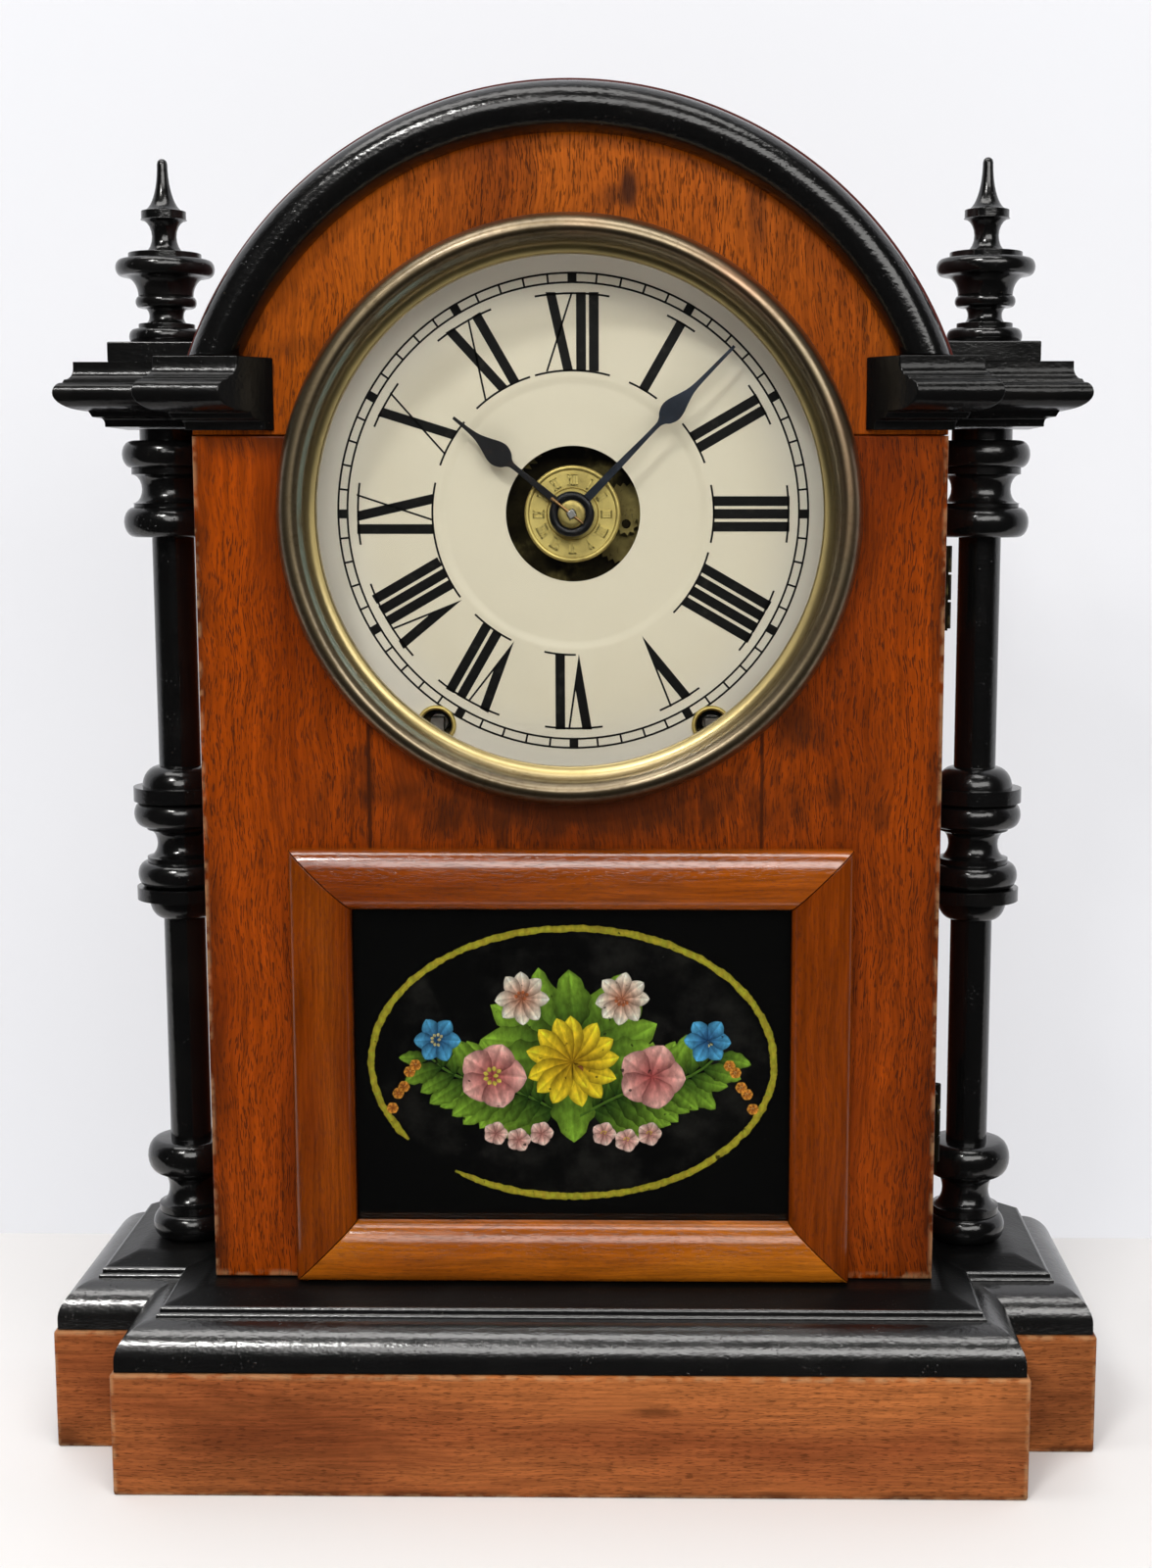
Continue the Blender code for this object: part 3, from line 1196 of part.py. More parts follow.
def make_pendulum():
    """The verge with its crutch, and the pendulum it drives."""
    depth = FRONT_PLATE_DEPTH - ESCAPE_PLANE
    drop = VERGE_RISE - ESCAPE_RISE
    pallet = ESCAPE_RADIUS + 0.0016
    spread = math.radians(40)
    tips = [(pallet * math.sin(a), pallet * math.cos(a) - drop) for a in (-spread, spread)]
    strip = [(tips[0][0], tips[0][1]), (tips[0][0] - 0.001, tips[0][1] + 0.0003)]
    strip += [(tips[0][0] - 0.0006, tips[0][1] + 0.0035), (0, 0.001)]
    strip += [(tips[1][0] + 0.0006, tips[1][1] + 0.0035), (tips[1][0] + 0.001, tips[1][1] + 0.0003)]
    strip += [(tips[1][0], tips[1][1]), (tips[1][0] - 0.0006, tips[1][1] + 0.0028), (0, -0.001)]
    strip += [(tips[0][0] + 0.0006, tips[0][1] + 0.0028)]
    verge = part("verge", slab("verge", [strip], 0.0016), STEEL, at(VERGE, depth), "front")
    hub_front = FRONT_PLATE_DEPTH - CRUTCH_PLANE - 0.0006
    hub_back = depth + 0.0014
    arbor(verge, depth, hub_front, hub_back, 0.0022, 12)
    forward = CRUTCH_PLANE - ESCAPE_PLANE
    loop = FRONT_PLATE_DEPTH - CRUTCH_PLANE - ROD_DEPTH + ROD_RADIUS + 0.0008
    bend = -0.0255
    path = [(0, -0.0016, forward), (0, -0.020, forward), (-0.0017, -0.0235, forward),
            (-0.0017, bend, forward), (-0.0017, bend, forward + loop), (0.0017, bend, forward + loop),
            (0.0017, bend, forward)]
    combine(verge, "UNION", wire("verge", path, 0.0005))
    combine(verge, "DIFFERENCE", rod("verge", ARBOR_RADIUS + GAP, 0.05, 10))

    place = at(SUSPENSION, ROD_DEPTH)
    nut_top = -PENDULUM_LENGTH - BOB_RADIUS - GAP
    nut_bottom = nut_top - NUT_HEIGHT
    rod_end = nut_bottom - NUT_HEIGHT
    points = [(0, GAP), (ROD_RADIUS, GAP), (ROD_RADIUS, nut_top), (NUT_RADIUS, nut_top),
              (NUT_RADIUS, nut_bottom), (ROD_RADIUS, nut_bottom), (ROD_RADIUS, rod_end), (0, rod_end)]
    turn(part("pendulum_rod", profile("pendulum_rod", points), STEEL, place), 10)

    half = BOB_THICKNESS / 2
    points = [(0, half)] + [(BOB_RADIUS * s, half * (1 - s ** 2) + BOB_RIM) for s in (0.35, 0.65, 0.88, 1)]
    points += [(r, -h) for r, h in reversed(points)]
    bob = part("pendulum_bob", profile("pendulum_bob", points), BRASS,
               (place[0], place[1], place[2] - PENDULUM_LENGTH), "front")
    turn(bob, 24)
    bore = rod("pendulum_bob", ROD_RADIUS + GAP, BOB_RADIUS * 3)
    bore.transform(Matrix.Rotation(math.pi / 2, 4, "X"))
    combine(bob, "DIFFERENCE", bore)


def make_strike():
    """The strike train, its hammer and the gong."""
    back = BACK_PLATE_DEPTH + PLATE_THICKNESS
    front = FRONT_PLATE_DEPTH
    make_winding("strike", STRIKE_WINDING, PIN_ARBOR)

    depth = TRAIN_DEPTH + SECOND_PLANE
    outlines = [gear(FLY_TEETH, FLY_MODULE, bearing(PIN_ARBOR, FLY))]
    wheel = part("strike_pin_wheel", slab("strike_pin_wheel", outlines, WHEEL_THICKNESS), BRASS,
                 at(PIN_ARBOR, depth), "front")
    arbor(wheel, depth, front, back)
    leaves = gear(GREAT_PINION, GREAT_MODULE, gap_phase(GREAT_PINION, bearing(PIN_ARBOR, STRIKE_WINDING)))
    join_pinion(wheel, depth, leaves, TRAIN_DEPTH + GREAT_PLANE, PINION_LENGTH)
    combine(wheel, "UNION", ring_of_pins("strike_pin_wheel", 0.0006, 0.0036), (0, 0, -0.0018))

    depth = TRAIN_DEPTH + FLY_PLANE
    blade = box("strike_fly", (-FLY_SPAN / 2, -0.0004, -0.0035), (FLY_SPAN / 2, 0.0004, 0.0035))
    fly = part("strike_fly", blade, BRASS, at(FLY, depth), "front")
    arbor(fly, depth, front, back)
    leaves = gear(FLY_PINION, FLY_MODULE, gap_phase(FLY_PINION, bearing(FLY, PIN_ARBOR)))
    join_pinion(fly, depth, leaves, TRAIN_DEPTH + SECOND_PLANE, PINION_LENGTH)

    depth = TRAIN_DEPTH + TAIL_PLANE
    hammer = part("strike_hammer", rod("strike_hammer", ARBOR_RADIUS, back - front, 8), STEEL,
                  at(HAMMER, (front + back) / 2), "front")
    forward = (front + back) / 2 - depth
    gong_forward = (front + back) / 2 - (BACK_DEPTH - GONG_STANDOFF)
    tail = (HAMMER_TAIL * math.cos(HAMMER_TAIL_ANGLE), HAMMER_TAIL * math.sin(HAMMER_TAIL_ANGLE), forward)
    path = [tail, (0, 0, forward), (0, -HAMMER_LENGTH * 0.4, forward),
            (0, -HAMMER_LENGTH * 0.7, gong_forward), (0, -HAMMER_LENGTH, gong_forward)]
    combine(hammer, "UNION", wire("strike_hammer", path, HAMMER_WIRE))
    combine(hammer, "UNION", ball("strike_hammer", HAMMER_HEAD), (0, -HAMMER_LENGTH, gong_forward))

    depth = BACK_DEPTH - GONG_STANDOFF
    start = GONG_POST + GAP + GONG_WIRE
    count = GONG_TURNS * 11
    path = []
    for i in range(count + 1):
        angle = math.pi + math.tau * GONG_TURNS * i / count
        radius = start + (GONG_RADIUS - start) * i / count
        path.append((radius * math.cos(angle), radius * math.sin(angle), 0))
    part("gong_coil", wire("gong_coil", path, GONG_WIRE), STEEL, at(GONG, depth), "front")
    base = GONG_STANDOFF - GAP
    points = [(0, 0.0025), (GONG_POST, 0.0025), (GONG_POST, -base + 0.005), (0.009, -base + 0.003),
              (0.009, -base), (0, -base)]
    turn(part("gong_stand", profile("gong_stand", points), BLACK, at(GONG, depth), "front"), 16)


def main():
    """Build the whole clock."""
    clear_scene()
    make_base()
    make_case()
    for name, side in (("left", -1), ("right", 1)):
        make_capital("capital_" + name, side)
        make_column("column_" + name, side)
        make_finial("finial_" + name, side)
        make_door_capital("door_capital_" + name, side)
    make_panels()
    make_arch_moulding()
    make_tablet()
    make_bezel()
    make_dial()
    make_hinge("upper", PANEL_TOP - HINGE_INSET)
    make_hinge("lower", CASE_BOTTOM + HINGE_INSET)
    hang_door()
    make_plates()
    make_time_train()
    make_motion_work()
    make_hands()
    make_pendulum()
    make_strike()


main()
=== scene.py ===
"""Arched shelf clock: the looks of its case, dial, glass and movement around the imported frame.

Laid out as an add-on and run as a script. Metres, +Z up, the front faces -Y.
"""
import json
import math
import random

import bmesh
import bpy
from bpy.props import FloatProperty, FloatVectorProperty, IntProperty, PointerProperty
from mathutils import Matrix, Vector


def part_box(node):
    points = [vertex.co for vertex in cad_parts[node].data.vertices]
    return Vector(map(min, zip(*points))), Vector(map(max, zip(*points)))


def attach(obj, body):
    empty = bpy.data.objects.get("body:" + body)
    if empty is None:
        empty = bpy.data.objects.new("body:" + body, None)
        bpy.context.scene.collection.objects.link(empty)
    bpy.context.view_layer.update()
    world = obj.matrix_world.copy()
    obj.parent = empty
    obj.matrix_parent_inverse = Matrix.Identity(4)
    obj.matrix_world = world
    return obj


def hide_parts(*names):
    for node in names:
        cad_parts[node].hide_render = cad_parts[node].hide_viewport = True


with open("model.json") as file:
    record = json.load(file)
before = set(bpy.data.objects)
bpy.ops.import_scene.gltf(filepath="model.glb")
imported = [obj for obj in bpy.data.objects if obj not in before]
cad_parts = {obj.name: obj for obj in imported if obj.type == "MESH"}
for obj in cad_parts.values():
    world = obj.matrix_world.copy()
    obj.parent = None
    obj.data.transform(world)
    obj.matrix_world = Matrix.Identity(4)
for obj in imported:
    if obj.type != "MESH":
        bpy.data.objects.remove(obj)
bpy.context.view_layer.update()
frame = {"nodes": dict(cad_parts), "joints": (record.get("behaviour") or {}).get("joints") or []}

bl_info = {
    "name": "Shelf clock",
    "version": (1, 0, 0),
    "blender": (4, 5, 0),
    "location": "View3D > Sidebar > Shelf clock",
    "description": "Dresses the frame of an arched shelf clock with its woods, metals, dial and glass",
    "category": "Object",
}

# Sizes read from the frame

GAP = 0.0003


def points_of(node):
    """The corners of a node's mesh."""
    return [vert.co.copy() for vert in frame["nodes"][node].data.vertices]


def middle_of(node):
    """The middle of a node's box."""
    low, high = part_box(node)
    return (low + high) / 2


def radii_of(node):
    """Least and greatest distance of a node's corners from its middle, seen from the front."""
    middle = middle_of(node)
    spread = [math.hypot(p.x - middle.x, p.z - middle.z) for p in points_of(node)]
    return min(spread), max(spread)


PLINTH_LOW, PLINTH_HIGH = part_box("base_plinth")
BREAK_HALF = max(p.x for p in points_of("base_plinth") if p.y < PLINTH_LOW.y + GAP)
WING_FRONT = min(p.y for p in points_of("base_plinth") if p.x > PLINTH_HIGH.x - GAP)
MOULDING_LOW, MOULDING_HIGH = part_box("base_moulding")
PANEL_LOW, PANEL_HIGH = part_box("door_lower_panel")
ARCH_PANEL_LOW, ARCH_PANEL_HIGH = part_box("door_arch_panel")
SHELL_LOW, SHELL_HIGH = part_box("arch_shell")
BACK_LOW, BACK_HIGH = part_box("back_board")
CAPITAL_LOW, CAPITAL_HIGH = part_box("capital_right")
DOOR_CAPITAL_LOW, DOOR_CAPITAL_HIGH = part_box("door_capital_right")
COLUMN_LOW, COLUMN_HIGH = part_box("column_right")
FINIAL_LOW, FINIAL_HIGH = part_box("finial_right")
RAIL_LOW, RAIL_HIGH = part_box("tablet_rail_left")
FRAME_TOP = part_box("tablet_rail_top")[1].z
GLASS_LOW, GLASS_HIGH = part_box("tablet_glass")
DIAL_LOW, DIAL_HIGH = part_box("dial_pan")
BEZEL_LOW, BEZEL_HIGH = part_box("bezel")
BEZEL_GLASS_LOW, BEZEL_GLASS_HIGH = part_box("bezel_glass")

FACE = PANEL_LOW.y
HALF_CASE = PANEL_HIGH.x
COLUMN_X = middle_of("column_right").x
COLUMN_Y = middle_of("column_right").y
DIAL_Z = middle_of("dial_pan").z
DIAL_FRONT = DIAL_LOW.y
DIAL_EYE, DIAL_RADIUS = radii_of("dial_pan")
BEZEL_SIGHT, BEZEL_RADIUS = radii_of("bezel")
TABLET = middle_of("tablet_glass")
SHELL_RISE = SHELL_HIGH.z - SHELL_LOW.z
SHELL_RADIUS = (SHELL_HIGH.x ** 2 + SHELL_RISE ** 2) / (2 * SHELL_RISE)
ARCH_Z = SHELL_HIGH.z - SHELL_RADIUS
MOULD_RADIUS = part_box("arch_moulding")[1].z - ARCH_Z
RIM_RADIUS = ARCH_PANEL_HIGH.z - ARCH_Z

# Sizes of the mouldings, as in the frame's own solids

COLUMN_RADIUS = 0.0058
HEAD_RADIUS = 0.0132
COLUMN_MIDDLE_DROP = 0.0929
SPIKE_TIP = 0.0014
FINIAL_PLINTH = 0.0054
# Kind, height and radius of each moulding, from the top down
COLUMN_HEAD = (
    ("fillet", 0.0031, 0.0083), ("bead", 0.0074, HEAD_RADIUS), ("fillet", 0.0017, 0.0108),
    ("cove", 0.0079, 0.0081), ("fillet", 0.0010, 0.0104), ("bead", 0.0082, HEAD_RADIUS),
)
COLUMN_MIDDLE = (
    ("dome", 0.0058, 0.0106), ("fillet", 0.0040, 0.0131), ("bead", 0.0072, 0.0131),
    ("fillet", 0.0009, 0.0097), ("cove", 0.0078, 0.0069), ("fillet", 0.0014, 0.0098),
    ("bead", 0.0070, 0.0125), ("fillet", 0.0036, 0.0129), ("cup", 0.0056, 0.0096),
)
COLUMN_FOOT = (
    ("bead", 0.0098, 0.0124), ("cove", 0.0094, 0.0066), ("fillet", 0.0020, 0.0095),
    ("bead", 0.0078, 0.0114),
)
FINIAL = (
    ("spike", 0.0138, 0.0057), ("fillet", 0.0023, 0.0060), ("cove", 0.0089, 0.0033),
    ("fillet", 0.0017, 0.0098), ("bead", 0.0045, 0.0133), ("bell", 0.0052, 0.0113),
    ("bead", 0.0031, 0.0082), ("cove", 0.0043, 0.0046), ("fillet", 0.0014, 0.0076),
    ("bead", 0.0041, 0.0102),
)
CAPITAL_HALF = 0.0128
CAPITAL_SIDE = 0.0147
CAPITAL_NOSE = 0.011
CAPITAL_CROWN = 0.0064
CAPITAL_STEP = 0.0027
DOOR_CAPITAL_STAND = 0.0015
DOOR_CAPITAL_LENGTH = 0.0207
DOOR_CAPITAL_SLANT = 0.88
MOULD_WIDTH = 0.0124
MOULD_RISE = 0.008
MOULDING_LEDGE = 0.001
THUMB_RUN = 0.0094
THUMB_RISE = 0.0125
FILLET_RISE = 0.0012
SLOPE_RUN = 0.0095
RAIL_EDGE = 0.0032
RAIL_CROWN = 0.0066
RAIL_LIP = 0.0016
SHELL_THICKNESS = 0.008

DOOR_OPENING = 0.070
WINDING_HOLE = 0.0049
GROUND_THICKNESS = 0.0003
# Degrees between faces from which an edge is left sharp
SHARP_EDGE = 35

# View and lamps

CAMERA_PLACE = (0.02508, -0.59401, 0.26021)
CAMERA_TILT = math.radians(81.67)
CAMERA_SWING = math.radians(0.80)
CAMERA_SHIFT = (-0.0379, 0.0248)
SENSOR_WIDTH = 36
LAMP_TINT = (1.0, 0.985, 0.96)
LAMP_AIM = Vector((0, 0, 0.2))

SIDES = (("left", -1), ("right", 1))
FRONT = Matrix.Rotation(math.pi / 2, 4, "X")


def facing(x, y, z):
    """A place whose own Z points to the front of the clock."""
    return Matrix.Translation((x, y, z)) @ FRONT


# Settings

def colour(name, description, default):
    """A colour that a user may change."""
    return FloatVectorProperty(name=name, description=description, default=default, size=3,
                               min=0, max=1, subtype="COLOR")


def length(name, description, default):
    """A length that a user may change."""
    return FloatProperty(name=name, description=description, default=default, min=0,
                         subtype="DISTANCE", unit="LENGTH")


def share(name, description, default):
    """A share from none to all that a user may change."""
    return FloatProperty(name=name, description=description, default=default, min=0, max=1,
                         subtype="FACTOR")


def power(name, description, default):
    """A lamp's power that a user may change."""
    return FloatProperty(name=name, description=description, default=default, min=0, unit="POWER")


class ClockWood(bpy.types.PropertyGroup):
    """Colours of the walnut, the lacquer and the bare boards."""
    arch_light: colour("Light arch", "Bright stripes of the door's arch", (0.385, 0.085, 0.004))
    arch_dark: colour("Dark arch", "Dark stripes of the door's arch", (0.210, 0.039, 0.001))
    walnut_light: colour("Light walnut", "Bright stripes of the door and sides", (0.262, 0.041, 0.001))
    walnut_dark: colour("Dark walnut", "Dark stripes of the door and sides", (0.136, 0.019, 0.0005))
    # Pores and knots; on the door this colour also paints shade under the bezel, the capitals and beside the
    # columns
    walnut_pore: colour("Pores", "Short dark pores and knots", (0.028, 0.007, 0.002))
    rail_light: colour("Light rail", "Bright stripes of the tablet frame", (0.34, 0.098, 0.010))
    rail_dark: colour("Dark rail", "Dark stripes of the tablet frame", (0.175, 0.035, 0.002))
    plinth_light: colour("Light plinth", "Bright stripes of the plinth", (0.385, 0.124, 0.034))
    plinth_dark: colour("Dark plinth", "Dark stripes of the plinth", (0.220, 0.056, 0.016))
    worn_wood: colour("Worn edge", "Bare wood on rubbed edges", (0.50, 0.30, 0.15))
    lacquer: colour("Lacquer", "Black lacquer of mouldings and turnings", (0.003, 0.003, 0.003))
    rim: colour("Rim", "Stained edge outside the arch moulding", (0.075, 0.016, 0.013))
    pine_light: colour("Light pine", "Bright stripes of the inner boards", (0.44, 0.26, 0.115))
    pine_dark: colour("Dark pine", "Dark stripes of the inner boards", (0.26, 0.125, 0.045))
    wear: share("Wear", "How far edges are rubbed", 0.36)


class ClockMetal(bpy.types.PropertyGroup):
    """Colours of the metals."""
    brass: colour("Brass", "Cleaned brass", (0.80, 0.65, 0.23))
    tarnish: colour("Tarnish", "Dulled brass", (0.20, 0.145, 0.055))
    # On the movement's plates this darkening is also painted shade
    grime: colour("Grime", "Old oil and dust on the plates", (0.014, 0.011, 0.006))
    bezel_bright: colour("Bright bezel", "Rubbed brass of the bezel", (0.228, 0.178, 0.106))
    bezel_dull: colour("Dull bezel", "Aged brass of the bezel", (0.115, 0.084, 0.044))
    patina: colour("Patina", "Green deposit beside the bezel's roll", (0.085, 0.140, 0.115))
    steel: colour("Steel", "Springs, wires and arbors", (0.40, 0.39, 0.38))
    blued: colour("Blued steel", "Minute hand", (0.040, 0.049, 0.070))
    black_steel: colour("Black steel", "Hour hand and hub", (0.014, 0.014, 0.017))
    iron: colour("Iron", "Foot of the gong", (0.030, 0.028, 0.026))


class ClockDial(bpy.types.PropertyGroup):
    """Paint and figures of the dial."""
    paint: colour("Paint", "Cream paint of the dial", (0.80, 0.735, 0.59))
    # The rim colour is painted light on the dial's edge, which the bezel shades
    rim: colour("Rim", "Paler paint towards the edge", (0.90, 0.87, 0.79))
    ink: colour("Ink", "Figures and minute track", (0.008, 0.008, 0.008))
    track_radius: length("Track radius", "Outer line of the minute track", 0.0635)
    track_width: length("Track width", "Between the two lines of the minute track", 0.0030)
    line: length("Line", "Width of the thin lines", 0.00054)
    block: length("Block", "Width of the five minute marks", 0.0024)
    figure_outer: length("Figure top", "Outer end of the figures", 0.0582)
    figure_inner: length("Figure foot", "Inner end of the figures", 0.0376)
    bar: length("Bar", "Width of a thick stroke", 0.0026)
    dish: length("Dish", "How far the middle of the dial is pressed in", 0.0005)


class ClockTablet(bpy.types.PropertyGroup):
    """Painting behind the lower glass."""
    ground: colour("Ground", "Black ground", (0.003, 0.003, 0.003))
    line: colour("Line", "Oval line", (0.50, 0.44, 0.035))
    oval_width: length("Oval width", "Width of the oval line", 0.109)
    oval_height: length("Oval height", "Height of the oval line", 0.0745)
    line_width: length("Line width", "Thickness of the oval line", 0.0019)
    seed: IntProperty(name="Seed", description="Start of the painter's hand", default=11)


class ClockStage(bpy.types.PropertyGroup):
    """Floor, light and camera."""
    wall: colour("Wall", "Pale wall behind the clock", (0.915, 0.925, 0.965))
    floor: colour("Floor", "Pale floor", (0.82, 0.808, 0.802))
    room: colour("Room", "Dim room before the clock", (0.02, 0.02, 0.02))
    wall_distance: length("Wall distance", "From the clock's middle to the wall", 0.16)
    wall_glow: share("Wall glow", "Share of the wall's brightness that takes no shadow", 0.54)
    key_power: power("Key", "Power of the small light at the upper left", 12.5)
    top_power: power("Top", "Power of the long soft light overhead", 7.0)
    front_power: power("Front", "Power of the wide soft light before the clock", 16.5)
    lens: FloatProperty(name="Lens", description="Focal length of the camera, in millimetres",
                        default=50.16, min=1)


SETTINGS = (ClockWood, ClockMetal, ClockDial, ClockTablet, ClockStage)


# Shader nodes

class Signal:
    """A socket's output. Arithmetic on a number adds Math nodes."""

    def __init__(self, shop, socket):
        self.shop = shop
        self.socket = socket

    def math(self, operation, *values):
        return self.shop.node("Math", {"operation": operation}, dict(enumerate(values)))

    def __add__(self, other):
        return self.math("ADD", self, other)

    def __radd__(self, other):
        return self.math("ADD", other, self)

    def __sub__(self, other):
        return self.math("SUBTRACT", self, other)

    def __rsub__(self, other):
        return self.math("SUBTRACT", other, self)

    def __mul__(self, other):
        return self.math("MULTIPLY", self, other)

    def __rmul__(self, other):
        return self.math("MULTIPLY", other, self)

    def __pow__(self, other):
        return self.math("POWER", self, other)

    def __abs__(self):
        return self.math("ABSOLUTE", self)

    def rise(self, low, high):
        """A smooth step from 0 at low to 1 at high."""
        return self.shop.node("MapRange", {"interpolation_type": "SMOOTHSTEP"},
                              {0: self, 1: low, 2: high, 3: 0.0, 4: 1.0})

    def band(self, middle, half):
        """1 at a middle value, falling to 0 at a half width on both sides."""
        return 1 - abs(self - middle).rise(half * 0.35, half)

    def most(self, other):
        return self.math("MAXIMUM", self, other)


class Shop:
    """A node tree, and the one way in which nodes are added to it."""

    def __init__(self, tree):
        self.tree = tree

    def feed(self, socket, value):
        """Link a signal to a socket or set its value."""
        if isinstance(value, Signal):
            self.tree.links.new(value.socket, socket)
        elif socket.type == "RGBA" and len(value) == 3:
            socket.default_value = (*value, 1.0)
        else:
            socket.default_value = value

    def node(self, kind, settings=None, inputs=None, output=0):
        """Add a node: its settings first, then the values or links of its sockets."""
        made = self.tree.nodes.new("ShaderNode" + kind)
        for key, value in (settings or {}).items():
            if key == "stops":
                self.set_stops(made.color_ramp, value)
            else:
                setattr(made, key, value)
        for key, value in (inputs or {}).items():
            self.feed(made.inputs[key], value)
        if isinstance(output, tuple):
            return [Signal(self, made.outputs[key]) for key in output]
        return Signal(self, made.outputs[output])

    @staticmethod
    def set_stops(ramp, stops):
        """Set a ramp's stops as pairs of place and colour."""
        while len(ramp.elements) < len(stops):
            ramp.elements.new(1.0)
        for element, (place, tint) in zip(ramp.elements, stops):
            element.position = place
            element.color = (*tint, 1.0)


class Finish(Shop):
    """A material with a Principled shader, and the textures that finishes share."""

    def __init__(self, name, fixed=None):
        self.material = bpy.data.materials.new(name)
        self.material.use_nodes = True
        super().__init__(self.material.node_tree)
        self.shader = self.tree.nodes["Principled BSDF"]
        self.sockets(fixed or {})

    def sockets(self, values):
        """Set or link sockets of the shader."""
        for key, value in values.items():
            self.feed(self.shader.inputs[key], value)

    def place(self, offset=0.0):
        """Place on the piece in the clock's own frame, shifted for another cut of the pattern."""
        spot = self.node("TexCoord", output="Object")
        return self.shift(spot, (offset, offset * 1.7, offset * 2.3)) if offset else spot

    def shift(self, vector, other):
        return self.node("VectorMath", {"operation": "ADD"}, {0: vector, 1: other})

    def stretch(self, vector, scales):
        return self.node("VectorMath", {"operation": "MULTIPLY"}, {0: vector, 1: scales})

    def span(self, vector):
        return self.node("VectorMath", {"operation": "LENGTH"}, {0: vector}, "Value")

    def parts(self, vector):
        return self.node("SeparateXYZ", inputs={0: vector}, output=(0, 1, 2))

    def vector(self, x, y, z):
        return self.node("CombineXYZ", inputs={0: x, 1: y, 2: z})

    def noise(self, vector, scale=1.0, detail=2.0, roughness=0.5):
        return self.node("TexNoise", inputs={"Vector": vector, "Scale": scale, "Detail": detail,
                                             "Roughness": roughness})

    def cells(self, vector, scale):
        return self.node("TexVoronoi", inputs={"Vector": vector, "Scale": scale})

    def mix(self, amount, first, second, mode="MIX"):
        """Mix two colours."""
        return self.node("Mix", {"data_type": "RGBA", "blend_type": mode},
                         {0: amount, 6: first, 7: second}, 2)

    def bump(self, height, depth):
        return self.node("Bump", inputs={"Strength": 1.0, "Distance": depth, "Height": height})


def clock():
    """The settings of the clock in this scene."""
    return bpy.context.scene.shelf_clock


# Finishes

def walnut(name, tones, along="Z", offset=0.0, pores=0.85, gloss=0.33, dark_patches=(), seams=(), rub=None,
           darken_where=None, shine=0.06, wave=1.0, stained_beyond=0.0):
    """Polished walnut: broad tone, wavering fibres and short pores along one axis."""
    wood = clock().wood
    light, dark = tones
    finish = Finish(name, {"Specular IOR Level": shine})
    spot = finish.place()
    x, y, z = finish.parts(spot)
    u, v, w = finish.parts(finish.shift(spot, (offset, offset * 1.7, offset * 2.3)))
    across, run, depth = (u + v, w, v) if along == "Z" else (w, u + v, 0.0)
    waver = finish.noise(finish.vector(across * 34, v * 30, run * 30), detail=1.0) - 0.5
    ripple = finish.noise(finish.vector(across * 120, v * 100, run * 95), detail=1.0) - 0.5
    across = across + waver * (0.009 * wave) + ripple * (0.0013 * wave)

    def grain(wide, long, detail=2.0):
        spread = finish.vector(across * wide, depth and depth * wide * 0.3, run * long)
        return finish.noise(spread, detail=detail)

    def shade(amount, low, high):
        return finish.mix(1.0, paint, finish.mix(amount, [low] * 3, [high] * 3), "MULTIPLY")

    tone = grain(30, 6, 3.0).rise(0.34, 0.66)
    streak = grain(620, 30)
    fibre = grain(1500, 60)
    pore = grain(3300, 330, 1.0).rise(0.56, 0.62) * grain(52, 16).rise(0.22, 0.54) * pores
    paint = finish.mix(tone, dark, light)
    paint = shade(streak.rise(0.30, 0.66), 0.82, 1.08)
    paint = shade(fibre.rise(0.30, 0.70), 0.78, 1.12)
    paint = finish.mix(pore * 0.85, paint, wood.walnut_pore)
    # Dark patches: knots, and on the door's lower panel also the painted shadow under the bezel
    for middle, size, strength in dark_patches:
        from_dark_patch = finish.shift(spot, [-c for c in middle])
        away = finish.span(finish.stretch(from_dark_patch, (1 / size[0], 0, 1 / size[1])))
        ragged = finish.noise(finish.vector(across * 220, 0.0, run * 110), detail=3.0)
        dark_patch = (away + (ragged - 0.5) * 1.3).rise(1.1, 0.1) * strength
        paint = finish.mix(dark_patch, paint, [c * 1.3 for c in wood.walnut_pore])
    for place, low, high in seams:
        joint = x.band(place, 0.0007) * z.rise(low, low + 0.004) * (1 - z.rise(high - 0.004, high))
        paint = finish.mix(joint * 0.8, paint, wood.walnut_pore)
    if stained_beyond:
        away = finish.span(finish.vector(x, 0.0, z - ARCH_Z))
        paint = finish.mix(away.rise(stained_beyond - 0.0002, stained_beyond), paint, wood.rim)
    # Darkening by place: painted shade on the door's lower panel, a darker foot on the plinth
    if darken_where:
        darkened = darken_where(x, z) * finish.noise(spot, 60, 4.0).rise(0.25, 0.65)
        paint = finish.mix(darkened * 0.75, paint, wood.walnut_pore)
    if rub:
        rubbed = rub(x, y, z) * finish.noise(spot, 260, 4.0).rise(0.40, 0.60) * wood.wear
        paint = finish.mix(rubbed, paint, wood.worn_wood)
    smudge = finish.noise(spot, 45, 3.0)
    finish.sockets({"Base Color": paint, "Roughness": gloss + pore * 0.25 + (smudge - 0.5) * 0.16,
                    "Normal": finish.bump(fibre * 0.25 - pore + smudge * 0.8, 0.00004)})
    return finish.material


